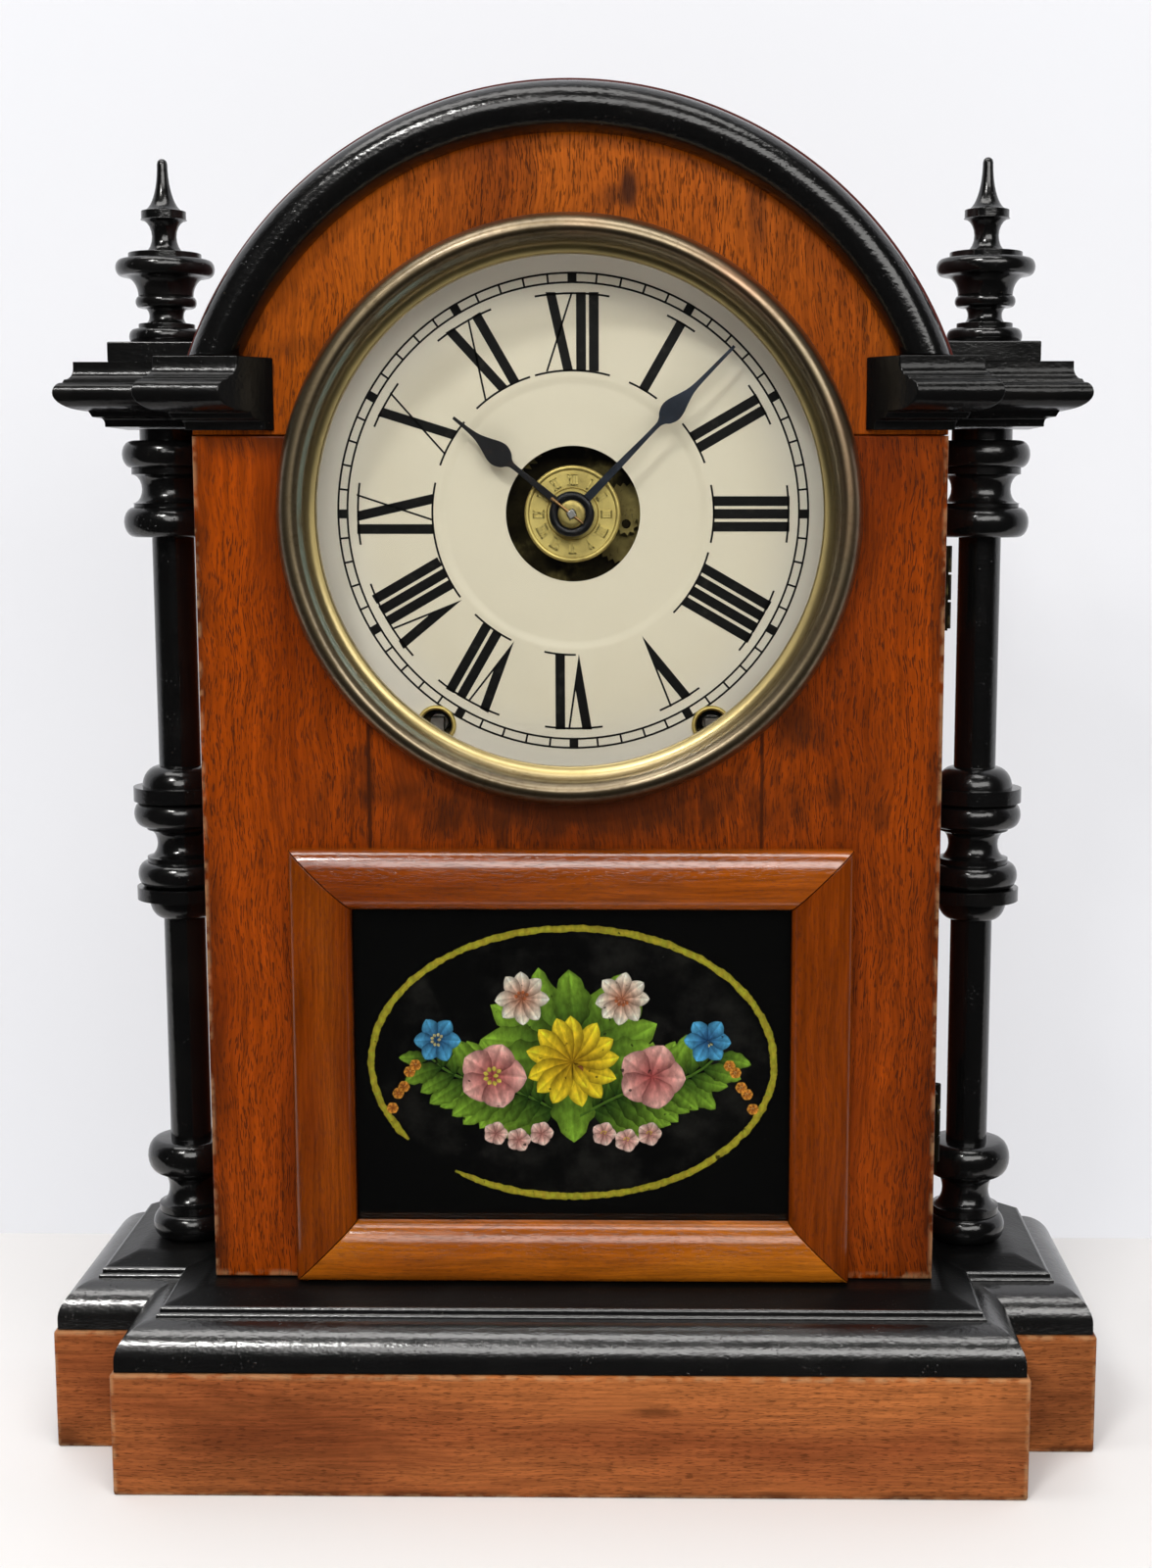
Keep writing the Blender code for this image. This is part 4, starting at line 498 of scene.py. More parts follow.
def rub_plinth(x, y, z):
    """Rubbed on the edges and corners of the plinth."""
    top = PLINTH_HIGH.z
    level = z.rise(top - 0.0016, top - 0.0004).most(z.rise(0.0013, 0.0003))
    break_corner = abs(x).band(BREAK_HALF, 0.0016) * y.rise(PLINTH_LOW.y + 0.0016, PLINTH_LOW.y + 0.0003)
    wing_side = abs(x).rise(PLINTH_HIGH.x - 0.0014, PLINTH_HIGH.x - 0.0002)
    wing_corner = wing_side * y.rise(WING_FRONT + 0.0016, WING_FRONT)
    return level.most(break_corner).most(wing_corner)


def rub_door(x, y, z):
    """Rubbed along the lower edge and the sides of the door."""
    side = abs(x).rise(HALF_CASE - 0.0016, HALF_CASE - 0.0002)
    edge = z.rise(PANEL_LOW.z + 0.0025, PANEL_LOW.z + 0.0005).most(side)
    return edge * y.rise(FACE + 0.0016, FACE + 0.0004)


def painted_shade_door(x, z):
    """Painted shade under the door's capitals and along the sides of the lower panel beside the columns, and
    a fainter darkening over its right part.
    """
    top = z.rise(PANEL_HIGH.z - 0.008, PANEL_HIGH.z) * abs(x).rise(HALF_CASE - 0.035, HALF_CASE - 0.020)
    return top.most(abs(x).rise(HALF_CASE - 0.007, HALF_CASE)).most(x.rise(0.03, 0.09) * 0.3)


def plinth_foot_darkening(x, z):
    """Darker along the foot of the plinth."""
    return z.rise(0.003, 0.0006)


def lacquer(name, gloss=0.20, offset=0.0, shine=0.5, wrinkle=1.0):
    """Black lacquer, brushed a little unevenly, with fine grit and a few rubbed specks."""
    wood = clock().wood
    finish = Finish(name, {"Specular IOR Level": shine})
    spot = finish.place(offset)
    peel = finish.noise(finish.stretch(spot, (0.55, 1, 1)), 1050, 2.0)
    brush = finish.noise(spot, 90, 2.0)
    grit = finish.cells(spot, 800).rise(0.20, 0.06) * finish.noise(spot, 110).rise(0.50, 0.64)
    speck = finish.cells(spot, 420).rise(0.10, 0.05) * finish.noise(spot, 75).rise(0.56, 0.66) * wood.wear
    dust = finish.noise(spot, 60, 4.0).rise(0.50, 0.80)
    paint = finish.mix(dust * 0.35, wood.lacquer, (0.009, 0.008, 0.007))
    paint = finish.mix(speck * 0.8, paint, (0.16, 0.13, 0.10))
    rough = gloss + (brush - 0.5) * 0.12 + speck * 0.3 + dust * 0.05
    finish.sockets({"Base Color": paint, "Roughness": rough,
                    "Normal": finish.bump(peel * 0.5 + brush * 0.6 + grit * 0.8, 0.00016 * wrinkle)})
    return finish.material


def stained_rim(name):
    """Dark red stain on the edge outside the arch moulding and on the top of the case."""
    wood = clock().wood
    finish = Finish(name, {"Coat Weight": 0.15, "Coat Roughness": 0.3})
    spot = finish.place()
    x, y, z = finish.parts(spot)
    fibre = finish.noise(finish.vector(x * 60, y * 700, z * 60), detail=3.0)
    patch = finish.noise(spot, 70, 3.0)
    paint = finish.mix(fibre.rise(0.3, 0.7), [c * 0.35 for c in wood.rim], [c * 1.6 for c in wood.rim])
    paint = finish.mix(patch.rise(0.5, 0.7) * 0.4, paint, (0.018, 0.012, 0.016))
    finish.sockets({"Base Color": paint, "Roughness": 0.36 + fibre * 0.2,
                    "Normal": finish.bump(fibre + patch * 0.5, 0.0001)})
    return finish.material


def pine(name, along="Z"):
    """Bare planed pine, darkened with age."""
    wood = clock().wood
    finish = Finish(name, {"IOR": 1.45})
    x, y, z = finish.parts(finish.place())
    across, run = (x, z) if along == "Z" else (z, x)
    waver = finish.noise(finish.vector(across * 20, y * 20, run * 6), detail=1.0)
    rings = finish.noise(finish.vector((across + waver * 0.02) * 150, y * 40, run * 2.5), detail=2.0)
    fibre = finish.noise(finish.vector(across * 1500, y * 300, run * 30), detail=1.0)
    grime = finish.noise(finish.vector(x * 22, y * 22, z * 22), detail=4.0)
    paint = finish.mix(rings.rise(0.35, 0.65), wood.pine_light, wood.pine_dark)
    paint = finish.mix(fibre.rise(0.45, 0.75) * 0.35, paint, [c * 0.5 for c in wood.pine_dark])
    paint = finish.mix(grime.rise(0.45, 0.75) * 0.5, paint, (0.07, 0.04, 0.02))
    finish.sockets({"Base Color": paint, "Roughness": 0.62 + grime * 0.2,
                    "Normal": finish.bump(fibre + rings * 0.4, 0.0001)})
    return finish.material


def brass(name, bright=0.7, middle=None, offset=0.0, grime=0.0, gloss=0.26):
    """Worked brass, tarnished in patches. Turned lines run round a middle where one is given."""
    metal = clock().metal
    finish = Finish(name, {"Metallic": 1.0})
    spot = finish.place(offset)
    cloud = finish.noise(spot, 120, 4.0)
    fleck = finish.noise(spot, 900, 2.0)
    if middle:
        away = finish.span(finish.stretch(finish.shift(spot, [-c for c in middle]), (1, 0, 1)))
        scratch = finish.noise(finish.vector(away * 5200, 0.0, 0.0), 1.0, 1.0)
    else:
        scratch = finish.noise(finish.stretch(spot, (2600, 400, 180)), 1.0, 1.0)
    dull = (cloud.rise(0.34, 0.72) * 0.8 + fleck.rise(0.55, 0.75) * 0.3) * (1.5 - bright)
    paint = finish.mix(dull, metal.brass, metal.tarnish)
    # Grime darkens in patches; on the movement plates it also stands for painted shade
    if grime:
        paint = finish.mix(cloud.rise(0.0, 0.46) * grime, paint, metal.grime)
    finish.sockets({"Base Color": paint, "Roughness": gloss + grime * 0.2 + dull * 0.22 + scratch * 0.10,
                    "Normal": finish.bump(scratch * 0.5 + fleck * 0.3 + cloud * 0.6, 0.00003)})
    return finish.material


def bezel_brass(name):
    """Aged spun brass of the bezel: turned lines, rubbed roll, green in the groove at the left."""
    metal = clock().metal
    finish = Finish(name, {"Coat Weight": 0.6, "Coat Roughness": 0.24})
    spot = finish.place()
    x, y, z = finish.parts(spot)
    from_middle = finish.vector(x, 0.0, z - DIAL_Z)
    away = finish.span(from_middle)
    spun = finish.noise(finish.vector(away * 2600, y * 2600, 0.0), 1.0, 2.0)
    cloud = finish.noise(spot, 55, 4.0)
    fleck = finish.noise(spot, 520, 3.0)
    dull = (cloud.rise(0.36, 0.66) * 0.65 + fleck.rise(0.48, 0.70) * 0.35)
    paint = finish.mix(dull, metal.bezel_bright, metal.bezel_dull)
    copper = (x + z - DIAL_Z).rise(0.02, 0.11) * finish.noise(spot, 30, 3.0).rise(0.35, 0.65)
    paint = finish.mix(copper * 0.55, paint, (0.42, 0.23, 0.13))
    yellow = away.rise(BEZEL_SIGHT + 0.0038, BEZEL_SIGHT + 0.0012)
    paint = finish.mix(yellow * 0.7, paint, (0.55, 0.43, 0.17))
    groove = away.band(BEZEL_SIGHT + 0.0036, 0.00055) * (0 - x).rise(0.010, 0.045)
    green = groove * finish.noise(spot, 60, 3.0).rise(0.30, 0.52)
    paint = finish.mix(green * 0.75, paint, metal.patina)
    rough = 0.32 + dull * 0.12 + spun * 0.06 + green * 0.3
    finish.sockets({"Base Color": paint, "Roughness": rough, "Metallic": 1 - green * 0.8,
                    "Normal": finish.bump(spun * 0.35 + fleck * 0.2 + cloud * 0.5, 0.00002)})
    return finish.material


def steel(name, tint, gloss=0.3, offset=0.0, metallic=1.0):
    """Drawn or filed steel with fine lines and a little rust bloom."""
    finish = Finish(name, {"Metallic": metallic})
    spot = finish.place(offset)
    cloud = finish.noise(spot, 140, 4.0)
    line = finish.noise(finish.stretch(spot, (300, 300, 3000)), 1.0, 1.0)
    bloom = finish.noise(spot, 420, 3.0).rise(0.56, 0.76)
    paint = finish.mix(cloud.rise(0.35, 0.70), tint, [c * 0.55 for c in tint])
    paint = finish.mix(bloom * 0.3, paint, (0.09, 0.05, 0.03))
    finish.sockets({"Base Color": paint, "Roughness": gloss + bloom * 0.25 + line * 0.10,
                    "Normal": finish.bump(line * 0.5 + cloud * 0.5, 0.00003)})
    return finish.material


def dial_paint(name):
    """Cream enamel paint, specked towards the edge, and paler there with painted light on the edge shaded by
    the bezel.
    """
    dial = clock().dial
    finish = Finish(name, {"Coat Weight": 0.15, "Coat Roughness": 0.3, "IOR": 1.45})
    spot = finish.place()
    x, y, z = finish.parts(spot)
    away = finish.span(finish.vector(x, 0.0, z - DIAL_Z))
    cloud = finish.noise(spot, 40, 4.0)
    speck = finish.cells(spot, 260).rise(0.045, 0.02) * finish.noise(spot, 70).rise(0.5, 0.62)
    # Painted light: a paler rim colour towards the edge lifts the bezel's shade
    paint = finish.mix(away.rise(0.050, 0.068) * (0.6 + cloud * 0.4), dial.paint, dial.rim)
    paint = finish.mix(cloud.rise(0.45, 0.75) * 0.10, paint, (0.60, 0.52, 0.37))
    paint = finish.mix(speck * 0.45, paint, (0.24, 0.17, 0.09))
    finish.sockets({"Base Color": paint, "Roughness": 0.42 + cloud * 0.14,
                    "Normal": finish.bump(cloud + finish.noise(spot, 700, 2.0) * 0.15, 0.00005)})
    return finish.material


def ink(name, offset=0.0):
    """Printed black, thin in places."""
    dial = clock().dial
    finish = Finish(name, {"Specular IOR Level": 0.1})
    spot = finish.place(offset)
    thin = finish.noise(spot, 340, 4.0).rise(0.55, 0.80)
    finish.sockets({"Base Color": finish.mix(thin * 0.35, dial.ink, (0.05, 0.046, 0.04)),
                    "Roughness": 0.34 + thin * 0.2,
                    "Normal": finish.bump(finish.noise(spot, 1500, 2.0), 0.00002)})
    return finish.material


def window_glass(name, tint=(0.99, 0.995, 0.985)):
    """Clear glass that shows a reflection at its surface, with faint waves and dust."""
    finish = Finish(name)
    spot = finish.place()
    wave = finish.bump(finish.noise(spot, 26, 2.0), 0.0001)
    film = finish.noise(spot, 34, 4.0).rise(0.45, 0.75)
    clear = finish.node("BsdfTransparent", inputs={"Color": tint})
    gloss = finish.node("BsdfGlossy", inputs={"Color": (1.0, 1.0, 1.0), "Roughness": 0.03, "Normal": wave})
    edge = finish.node("Fresnel", inputs={"IOR": 1.46, "Normal": wave})
    surface = finish.node("MixShader", inputs={0: edge * (0.75 + film * 0.2), 1: clear, 2: gloss})
    finish.tree.nodes.remove(finish.shader)
    finish.feed(finish.tree.nodes["Material Output"].inputs["Surface"], surface)
    return finish.material


def tablet_ground(name):
    """Black paint behind the glass, thin and cloudy inside the oval."""
    tablet = clock().tablet
    finish = Finish(name, {"Specular IOR Level": 0.0})
    spot = finish.place()
    inside = finish.span(finish.stretch(finish.shift(spot, [-c for c in TABLET]),
                                        (2 / tablet.oval_width, 0, 2 / tablet.oval_height))).rise(1.0, 0.94)
    cloud = finish.noise(spot, 85, 5.0, 0.65)
    thin = inside * cloud.rise(0.42, 0.74)
    pin_hole = finish.cells(spot, 170).rise(0.035, 0.015) * finish.noise(spot, 60).rise(0.5, 0.6)
    paint = finish.mix(thin * 0.75, tablet.ground, (0.022, 0.021, 0.019))
    paint = finish.mix(pin_hole * 0.6, paint, (0.10, 0.10, 0.09))
    finish.sockets({"Base Color": paint, "Roughness": 0.5 + cloud * 0.2,
                    "Normal": finish.bump(cloud, 0.00004)})
    return finish.material


def brush_paint(name):
    """Painter's colours held in the mesh, with strokes and small losses."""
    finish = Finish(name, {"Specular IOR Level": 0.05})
    spot = finish.place()
    held = finish.node("Attribute", {"attribute_name": "paint"})
    stroke = finish.noise(finish.stretch(spot, (900, 900, 500)), 1.0, 3.0)
    grain = finish.noise(spot, 2400, 2.0)
    streaks = finish.mix(stroke.rise(0.28, 0.70), (0.42, 0.42, 0.42), (1.12, 1.12, 1.12))
    paint = finish.mix(0.55, held, streaks, "MULTIPLY")
    loss = finish.noise(spot, 420, 3.0).rise(0.66, 0.72)
    paint = finish.mix(loss * 0.85, paint, clock().tablet.ground)
    finish.sockets({"Base Color": paint, "Roughness": 0.45 + grain * 0.2,
                    "Normal": finish.bump(stroke + grain * 0.4, 0.00004)})
    return finish.material


# Meshes

def mesh_from(bm, name, sharp=SHARP_EDGE):
    """Mesh data with smooth round stretches and sharp edges."""
    mesh = bpy.data.meshes.new(name)
    bm.to_mesh(mesh)
    bm.free()
    mesh.shade_smooth()
    mesh.set_sharp_from_angle(angle=math.radians(sharp))
    return mesh


def add_piece(name, mesh, finish, body, stands_for=(), soften=0.0):
    """Add a piece that rides on a body, with a small round on its sharp edges."""
    made = bpy.data.objects.new(name, mesh)
    bpy.context.scene.collection.objects.link(made)
    made.data.materials.append(finish)
    if soften:
        round_over = made.modifiers.new("Rounded edges", "BEVEL")
        round_over.width = soften
        round_over.segments = 2
        round_over.limit_method = "ANGLE"
        round_over.angle_limit = math.radians(38)
        round_over.harden_normals = True
    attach(made, body)
    if stands_for:
        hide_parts(*stands_for)
    return made


def quarter(start, end, count, level_first):
    """Points of a quarter ellipse after its start, level or upright first."""
    points = []
    for i in range(1, count + 1):
        t = i / count * math.pi / 2
        across, along = math.sin(t), 1 - math.cos(t)
        if not level_first:
            across, along = along, across
        points.append((start[0] + (end[0] - start[0]) * across,
                       start[1] + (end[1] - start[1]) * along))
    return points


def distinct(points):
    """The points with repeats left out."""
    kept = [points[0]]
    for place in points[1:]:
        if math.dist(place, kept[-1]) > 0.00002:
            kept.append(place)
    return kept


def turned(name, outline, steps=72, place=Matrix(), closed=False):
    """Spin an outline of radius and height about Z, then put it in its place."""
    bm = bmesh.new()
    rows = []
    for radius, height in outline:
        if radius < 0.000001:
            rows.append([bm.verts.new((0, 0, height))])
        else:
            rows.append([bm.verts.new((radius * math.cos(a), radius * math.sin(a), height))
                         for a in (math.tau * i / steps for i in range(steps))])
    pairs = list(zip(rows, rows[1:])) + ([(rows[-1], rows[0])] if closed else [])
    for upper, lower in pairs:
        for i in range(steps):
            j = (i + 1) % steps
            corners = [upper[i % len(upper)], upper[j % len(upper)],
                       lower[j % len(lower)], lower[i % len(lower)]]
            bm.faces.new(list(dict.fromkeys(corners)))
    bmesh.ops.recalc_face_normals(bm, faces=bm.faces)
    bm.transform(place)
    return mesh_from(bm, name)


def loft(name, rings, sharp=SHARP_EDGE):
    """A closed skin over rings of as many points each."""
    bm = bmesh.new()
    loops = [[bm.verts.new(place) for place in ring] for ring in rings]
    for lower, upper in zip(loops, loops[1:]):
        for i in range(len(lower)):
            j = (i + 1) % len(lower)
            bm.faces.new((lower[i], lower[j], upper[j], upper[i]))
    bm.faces.new(loops[0])
    bm.faces.new(loops[-1])
    bmesh.ops.recalc_face_normals(bm, faces=bm.faces)
    return mesh_from(bm, name, sharp)


def block(name, low, high, top):
    """A plain block on a node's plan, up to a height."""
    ring = [(low.x, low.y), (high.x, low.y), (high.x, high.y), (low.x, high.y)]
    return loft(name, [[(x, y, level) for x, y in ring] for level in (low.z, top)])


def fine(rings, step, edge=0.0015):
    """Closed rings with points added along their sides, close by the corners and evenly between them."""
    sides = []
    for start, end in zip(rings[0], rings[0][1:] + rings[0][:1]):
        reach = math.dist(start, end)
        places = [0.0]
        if reach > 4 * edge:
            count = max(1, round((reach - 2 * edge) / step))
            places += [(edge + (reach - 2 * edge) * i / count) / reach for i in range(count + 1)]
        sides.append(places)
    return [[tuple(Vector(a).lerp(Vector(b), t)) for a, b, places in zip(ring, ring[1:] + ring[:1], sides)
             for t in places] for ring in rings]


def between(first, last, places):
    """Rings between a first and a last ring."""
    return [[tuple(Vector(a).lerp(Vector(b), t)) for a, b in zip(first, last)] for t in places]


def bent(name, section, start, end, steps, middle):
    """A section of radius and height carried round an arc before the clock, closed at its ends."""
    rings = []
    for i in range(steps + 1):
        angle = start + (end - start) * i / steps
        rings.append([(middle.x + radius * math.cos(angle), middle.y - height,
                       middle.z + radius * math.sin(angle)) for radius, height in section])
    return loft(name, rings)


def arc(centre, radius, start, end, count):
    """Points along an arc."""
    step = (end - start) / (count - 1)
    return [(centre[0] + radius * math.cos(start + step * i), centre[1] + radius * math.sin(start + step * i))
            for i in range(count)]


def curve_mesh(name, curve):
    """The welded mesh of a curve."""
    holder = bpy.data.objects.new(name, curve)
    bpy.context.scene.collection.objects.link(holder)
    graph = bpy.context.evaluated_depsgraph_get()
    mesh = bpy.data.meshes.new_from_object(holder.evaluated_get(graph))
    bpy.data.objects.remove(holder, do_unlink=True)
    bpy.data.curves.remove(curve)
    bm = bmesh.new()
    bm.from_mesh(mesh)
    bmesh.ops.remove_doubles(bm, verts=bm.verts, dist=0.000002)
    bmesh.ops.recalc_face_normals(bm, faces=bm.faces)
    bpy.data.meshes.remove(mesh)
    return bm


def board(name, outlines, low, high, rounding=0.0004):
    """A flat board seen from the front: outlines with holes, between two depths, with rounded edges."""
    curve = bpy.data.curves.new(name, "CURVE")
    curve.dimensions = "2D"
    curve.fill_mode = "BOTH"
    curve.extrude = (high - low) / 2 - rounding
    curve.bevel_depth = rounding
    curve.bevel_resolution = 1
    curve.offset = -rounding
    for outline in outlines:
        spline = curve.splines.new("POLY")
        spline.points.add(len(outline) - 1)
        for knot, place in zip(spline.points, outline):
            knot.co = (*place, 0, 1)
        spline.use_cyclic_u = True
    bm = curve_mesh(name, curve)
    bm.transform(facing(0, (low + high) / 2, 0))
    return mesh_from(bm, name, 20)


def wire(name, points, radius, resolution=3, smooth=False):
    """A round wire along points, with closed ends."""
    curve = bpy.data.curves.new(name, "CURVE")
    curve.dimensions = "3D"
    curve.bevel_depth = radius
    curve.bevel_resolution = resolution
    curve.use_fill_caps = True
    spline = curve.splines.new("NURBS" if smooth else "POLY")
    spline.points.add(len(points) - 1)
    for knot, place in zip(spline.points, points):
        knot.co = (*place, 1)
    if smooth:
        spline.use_endpoint_u = True
        spline.order_u = 3
        spline.resolution_u = 6
    return mesh_from(curve_mesh(name, curve), name, 50)


def prism(bm, outline, low, high, spread):
    """Add a thin prism over an outline: spread takes a point and a height to its place."""
    bottom = [bm.verts.new(spread(place, low)) for place in outline]
    top = [bm.verts.new(spread(place, high)) for place in outline]
    bm.faces.new(bottom)
    bm.faces.new(top)
    for i in range(len(outline)):
        j = (i + 1) % len(outline)
        bm.faces.new((bottom[i], bottom[j], top[j], top[i]))


def strip(inner, outer):
    """An outline between two lines of points."""
    return list(outer) + list(reversed(inner))


# Turnings and mouldings

def turned_outline(mouldings, top, before):
    """Points down the outer side of a run of mouldings."""
    points = []
    height = top
    radius = before
    half_turn = [math.pi * i / 10 for i in range(11)]
    for kind, drop, size in mouldings:
        low = height - drop
        depth = min(drop * 0.35, 0.003)
        if kind == "fillet":
            run = [(size, height), (size, low)]
        elif kind in ("bead", "cove"):
            side = -1 if kind == "bead" else 1
            run = [(size + side * depth * (1 - math.sin(t)), height - drop * (1 - math.cos(t)) / 2)
                   for t in half_turn]
        elif kind == "dome":
            run = quarter((radius, height), (size, low), 8, True)
        elif kind == "cup":
            run = [(size, height)] + quarter((size, height), (COLUMN_RADIUS, low), 8, False)
        elif kind == "bell":
            run = [(size, height)] + quarter((size, height), (size - drop * 0.75, low), 8, True)
        else:
            run = [(0, height), (SPIKE_TIP * 0.45, height - SPIKE_TIP * 0.1),
                   (SPIKE_TIP * 0.85, height - SPIKE_TIP * 0.45), (SPIKE_TIP, height - SPIKE_TIP)]
            run += quarter((SPIKE_TIP, height - SPIKE_TIP), (size, low), 12, False)
        points += run
        height = low
        radius = points[-1][0]
    return points


def height_of(mouldings):
    """Total height of a run of mouldings."""
    return sum(drop for kind, drop, size in mouldings)


def capital_outline(rise):
    """Stand and height of a capital's mouldings, from the bottom up."""
    points = [(0, 0), (0, rise * 0.04)]
    points += quarter(points[-1], (CAPITAL_STEP * 0.4, rise * 0.14), 5, False)
    points.append((CAPITAL_STEP, rise * 0.15))
    points.append((CAPITAL_STEP * 1.3, rise * 0.24))
    points += quarter(points[-1], (CAPITAL_NOSE, rise * 0.5), 9, True)
    points += quarter(points[-1], (CAPITAL_NOSE * 0.8, rise * 0.67), 7, False)
    points.append((CAPITAL_NOSE * 0.76, rise * 0.72))
    points += quarter(points[-1], (CAPITAL_CROWN, rise * 0.9), 7, True)
    points.append((CAPITAL_CROWN, rise))
    return distinct(points)


def base_ring(inset, height):
    """The stepped plan of the base, drawn in on the front and sides."""
    wing = PLINTH_HIGH.x - inset
    middle = BREAK_HALF - inset
    wing_front = WING_FRONT + inset
    front = PLINTH_LOW.y + inset
    right = [(middle, front), (middle, wing_front), (wing, wing_front), (wing, PLINTH_HIGH.y)]
    left = [(-x, y) for x, y in reversed(right)]
    return [(x, y, height) for x, y in right + left]


# Operators

class CLOCK_OT_stage(bpy.types.Operator):
    """Make the pale floor and wall, the soft lights and the camera"""
    bl_idname = "clock.stage"
    bl_label = "Stage"

    def execute(self, context):
        stage = clock().stage
        context.scene.view_settings.view_transform = "Standard"
        self.world(context, stage)
        self.floor(stage)
        self.wall(stage)
        self.lamp("key_light", (-0.52, -1.26, 1.30), (0.36, 0.14), stage.key_power)
        self.lamp("top_light", (-0.10, -0.28, 1.20), (1.20, 0.34), stage.top_power)
        self.lamp("front_light", (0.42, -1.48, 0.90), (1.60, 0.60), stage.front_power)
        data = bpy.data.cameras.new("photo_camera")
        data.lens = stage.lens
        data.sensor_width = SENSOR_WIDTH
        data.shift_x, data.shift_y = CAMERA_SHIFT
        data.clip_start = 0.01
        camera = bpy.data.objects.new("photo_camera", data)
        camera.location = CAMERA_PLACE
        camera.rotation_euler = (CAMERA_TILT, 0, CAMERA_SWING)
        context.scene.collection.objects.link(camera)
        context.scene.camera = camera
        return {"FINISHED"}

    def lamp(self, name, place, size, power):
        """A soft rectangular light aimed at the clock."""
        data = bpy.data.lights.new(name, "AREA")
        data.shape = "RECTANGLE"
        data.size, data.size_y = size
        data.energy = power
        data.color = LAMP_TINT
        made = bpy.data.objects.new(name, data)
        made.location = place
        made.rotation_euler = (LAMP_AIM - Vector(place)).to_track_quat("-Z", "Y").to_euler()
        bpy.context.scene.collection.objects.link(made)

    def world(self, context, stage):
        """Pale where the camera looks and behind the clock, a dim room before it."""
        world = bpy.data.worlds.new("studio")
        world.use_nodes = True
        context.scene.world = world
        shop = Shop(world.node_tree)
        way = shop.node("TexCoord", output="Generated")
        y = shop.node("SeparateXYZ", inputs={0: way}, output=1)
        camera, through = shop.node("LightPath", output=("Is Camera Ray", "Is Transmission Ray"))
        pale = camera.most(through).most(y.rise(-0.25, 0.35))
        tint = shop.node("Mix", {"data_type": "RGBA"}, {0: pale, 6: stage.room, 7: stage.wall}, 2)
        backing = world.node_tree.nodes["Background"]
        shop.feed(backing.inputs["Color"], tint)
        backing.inputs["Strength"].default_value = 1.0

    def floor(self, stage):
        """A floor that takes the clock's shadow and fades far away.

        Reflections don't show it before the clock.
        """
        bm = bmesh.new()
        bmesh.ops.create_circle(bm, cap_ends=True, segments=64, radius=4)
        finish = Finish("floor_paint", {"Specular IOR Level": 0.2})
        spot = finish.place()
        y = finish.parts(spot)[1]
        soft = finish.noise(spot, 9, 3.0)
        finish.sockets({"Base Color": finish.mix(soft * 0.05, stage.floor, (0.7, 0.68, 0.67)),
                        "Roughness": 0.45 + soft * 0.1})
        glossy = finish.node("LightPath", output="Is Glossy Ray")
        dim = finish.node("Emission", inputs={"Color": stage.room, "Strength": 1.0})
        lit = Signal(finish, finish.shader.outputs[0])
        before = (0 - y).rise(0.045, 0.10) * glossy
        near = finish.node("MixShader", inputs={0: before, 1: lit, 2: dim})
        clear = finish.node("BsdfTransparent", inputs={"Color": (1.0, 1.0, 1.0)})
        far = finish.span(spot).rise(0.7, 2.2)
        self.backdrop("floor", bm, finish, finish.node("MixShader", inputs={0: far, 1: near, 2: clear}))

    def wall(self, stage):
        """A pale wall behind the clock that takes a faint shadow. It can be seen through from behind."""
        bm = bmesh.new()
        corners = [bm.verts.new((x, stage.wall_distance, z)) for x, z in ((-3, 0), (3, 0), (3, 3), (-3, 3))]
        bm.faces.new(corners)
        finish = Finish("wall_paint", {"Specular IOR Level": 0.0, "Emission Color": stage.wall,
                                       "Emission Strength": stage.wall_glow})
        soft = finish.noise(finish.place(), 5, 3.0)
        bare = [c * (1 - stage.wall_glow) * 0.8 for c in stage.wall]
        finish.sockets({"Base Color": finish.mix(soft * 0.1, bare, [c * 0.9 for c in bare]),
                        "Roughness": 0.8})
        behind = finish.node("NewGeometry", output="Backfacing")
        clear = finish.node("BsdfTransparent", inputs={"Color": (1.0, 1.0, 1.0)})
        lit = Signal(finish, finish.shader.outputs[0])
        self.backdrop("wall", bm, finish, finish.node("MixShader", inputs={0: behind, 1: lit, 2: clear}))

    def backdrop(self, name, bm, finish, surface):
        """Add a piece of the stage."""
        finish.feed(finish.tree.nodes["Material Output"].inputs["Surface"], surface)
        made = bpy.data.objects.new(name, mesh_from(bm, name))
        made.data.materials.append(finish.material)
        bpy.context.scene.collection.objects.link(made)


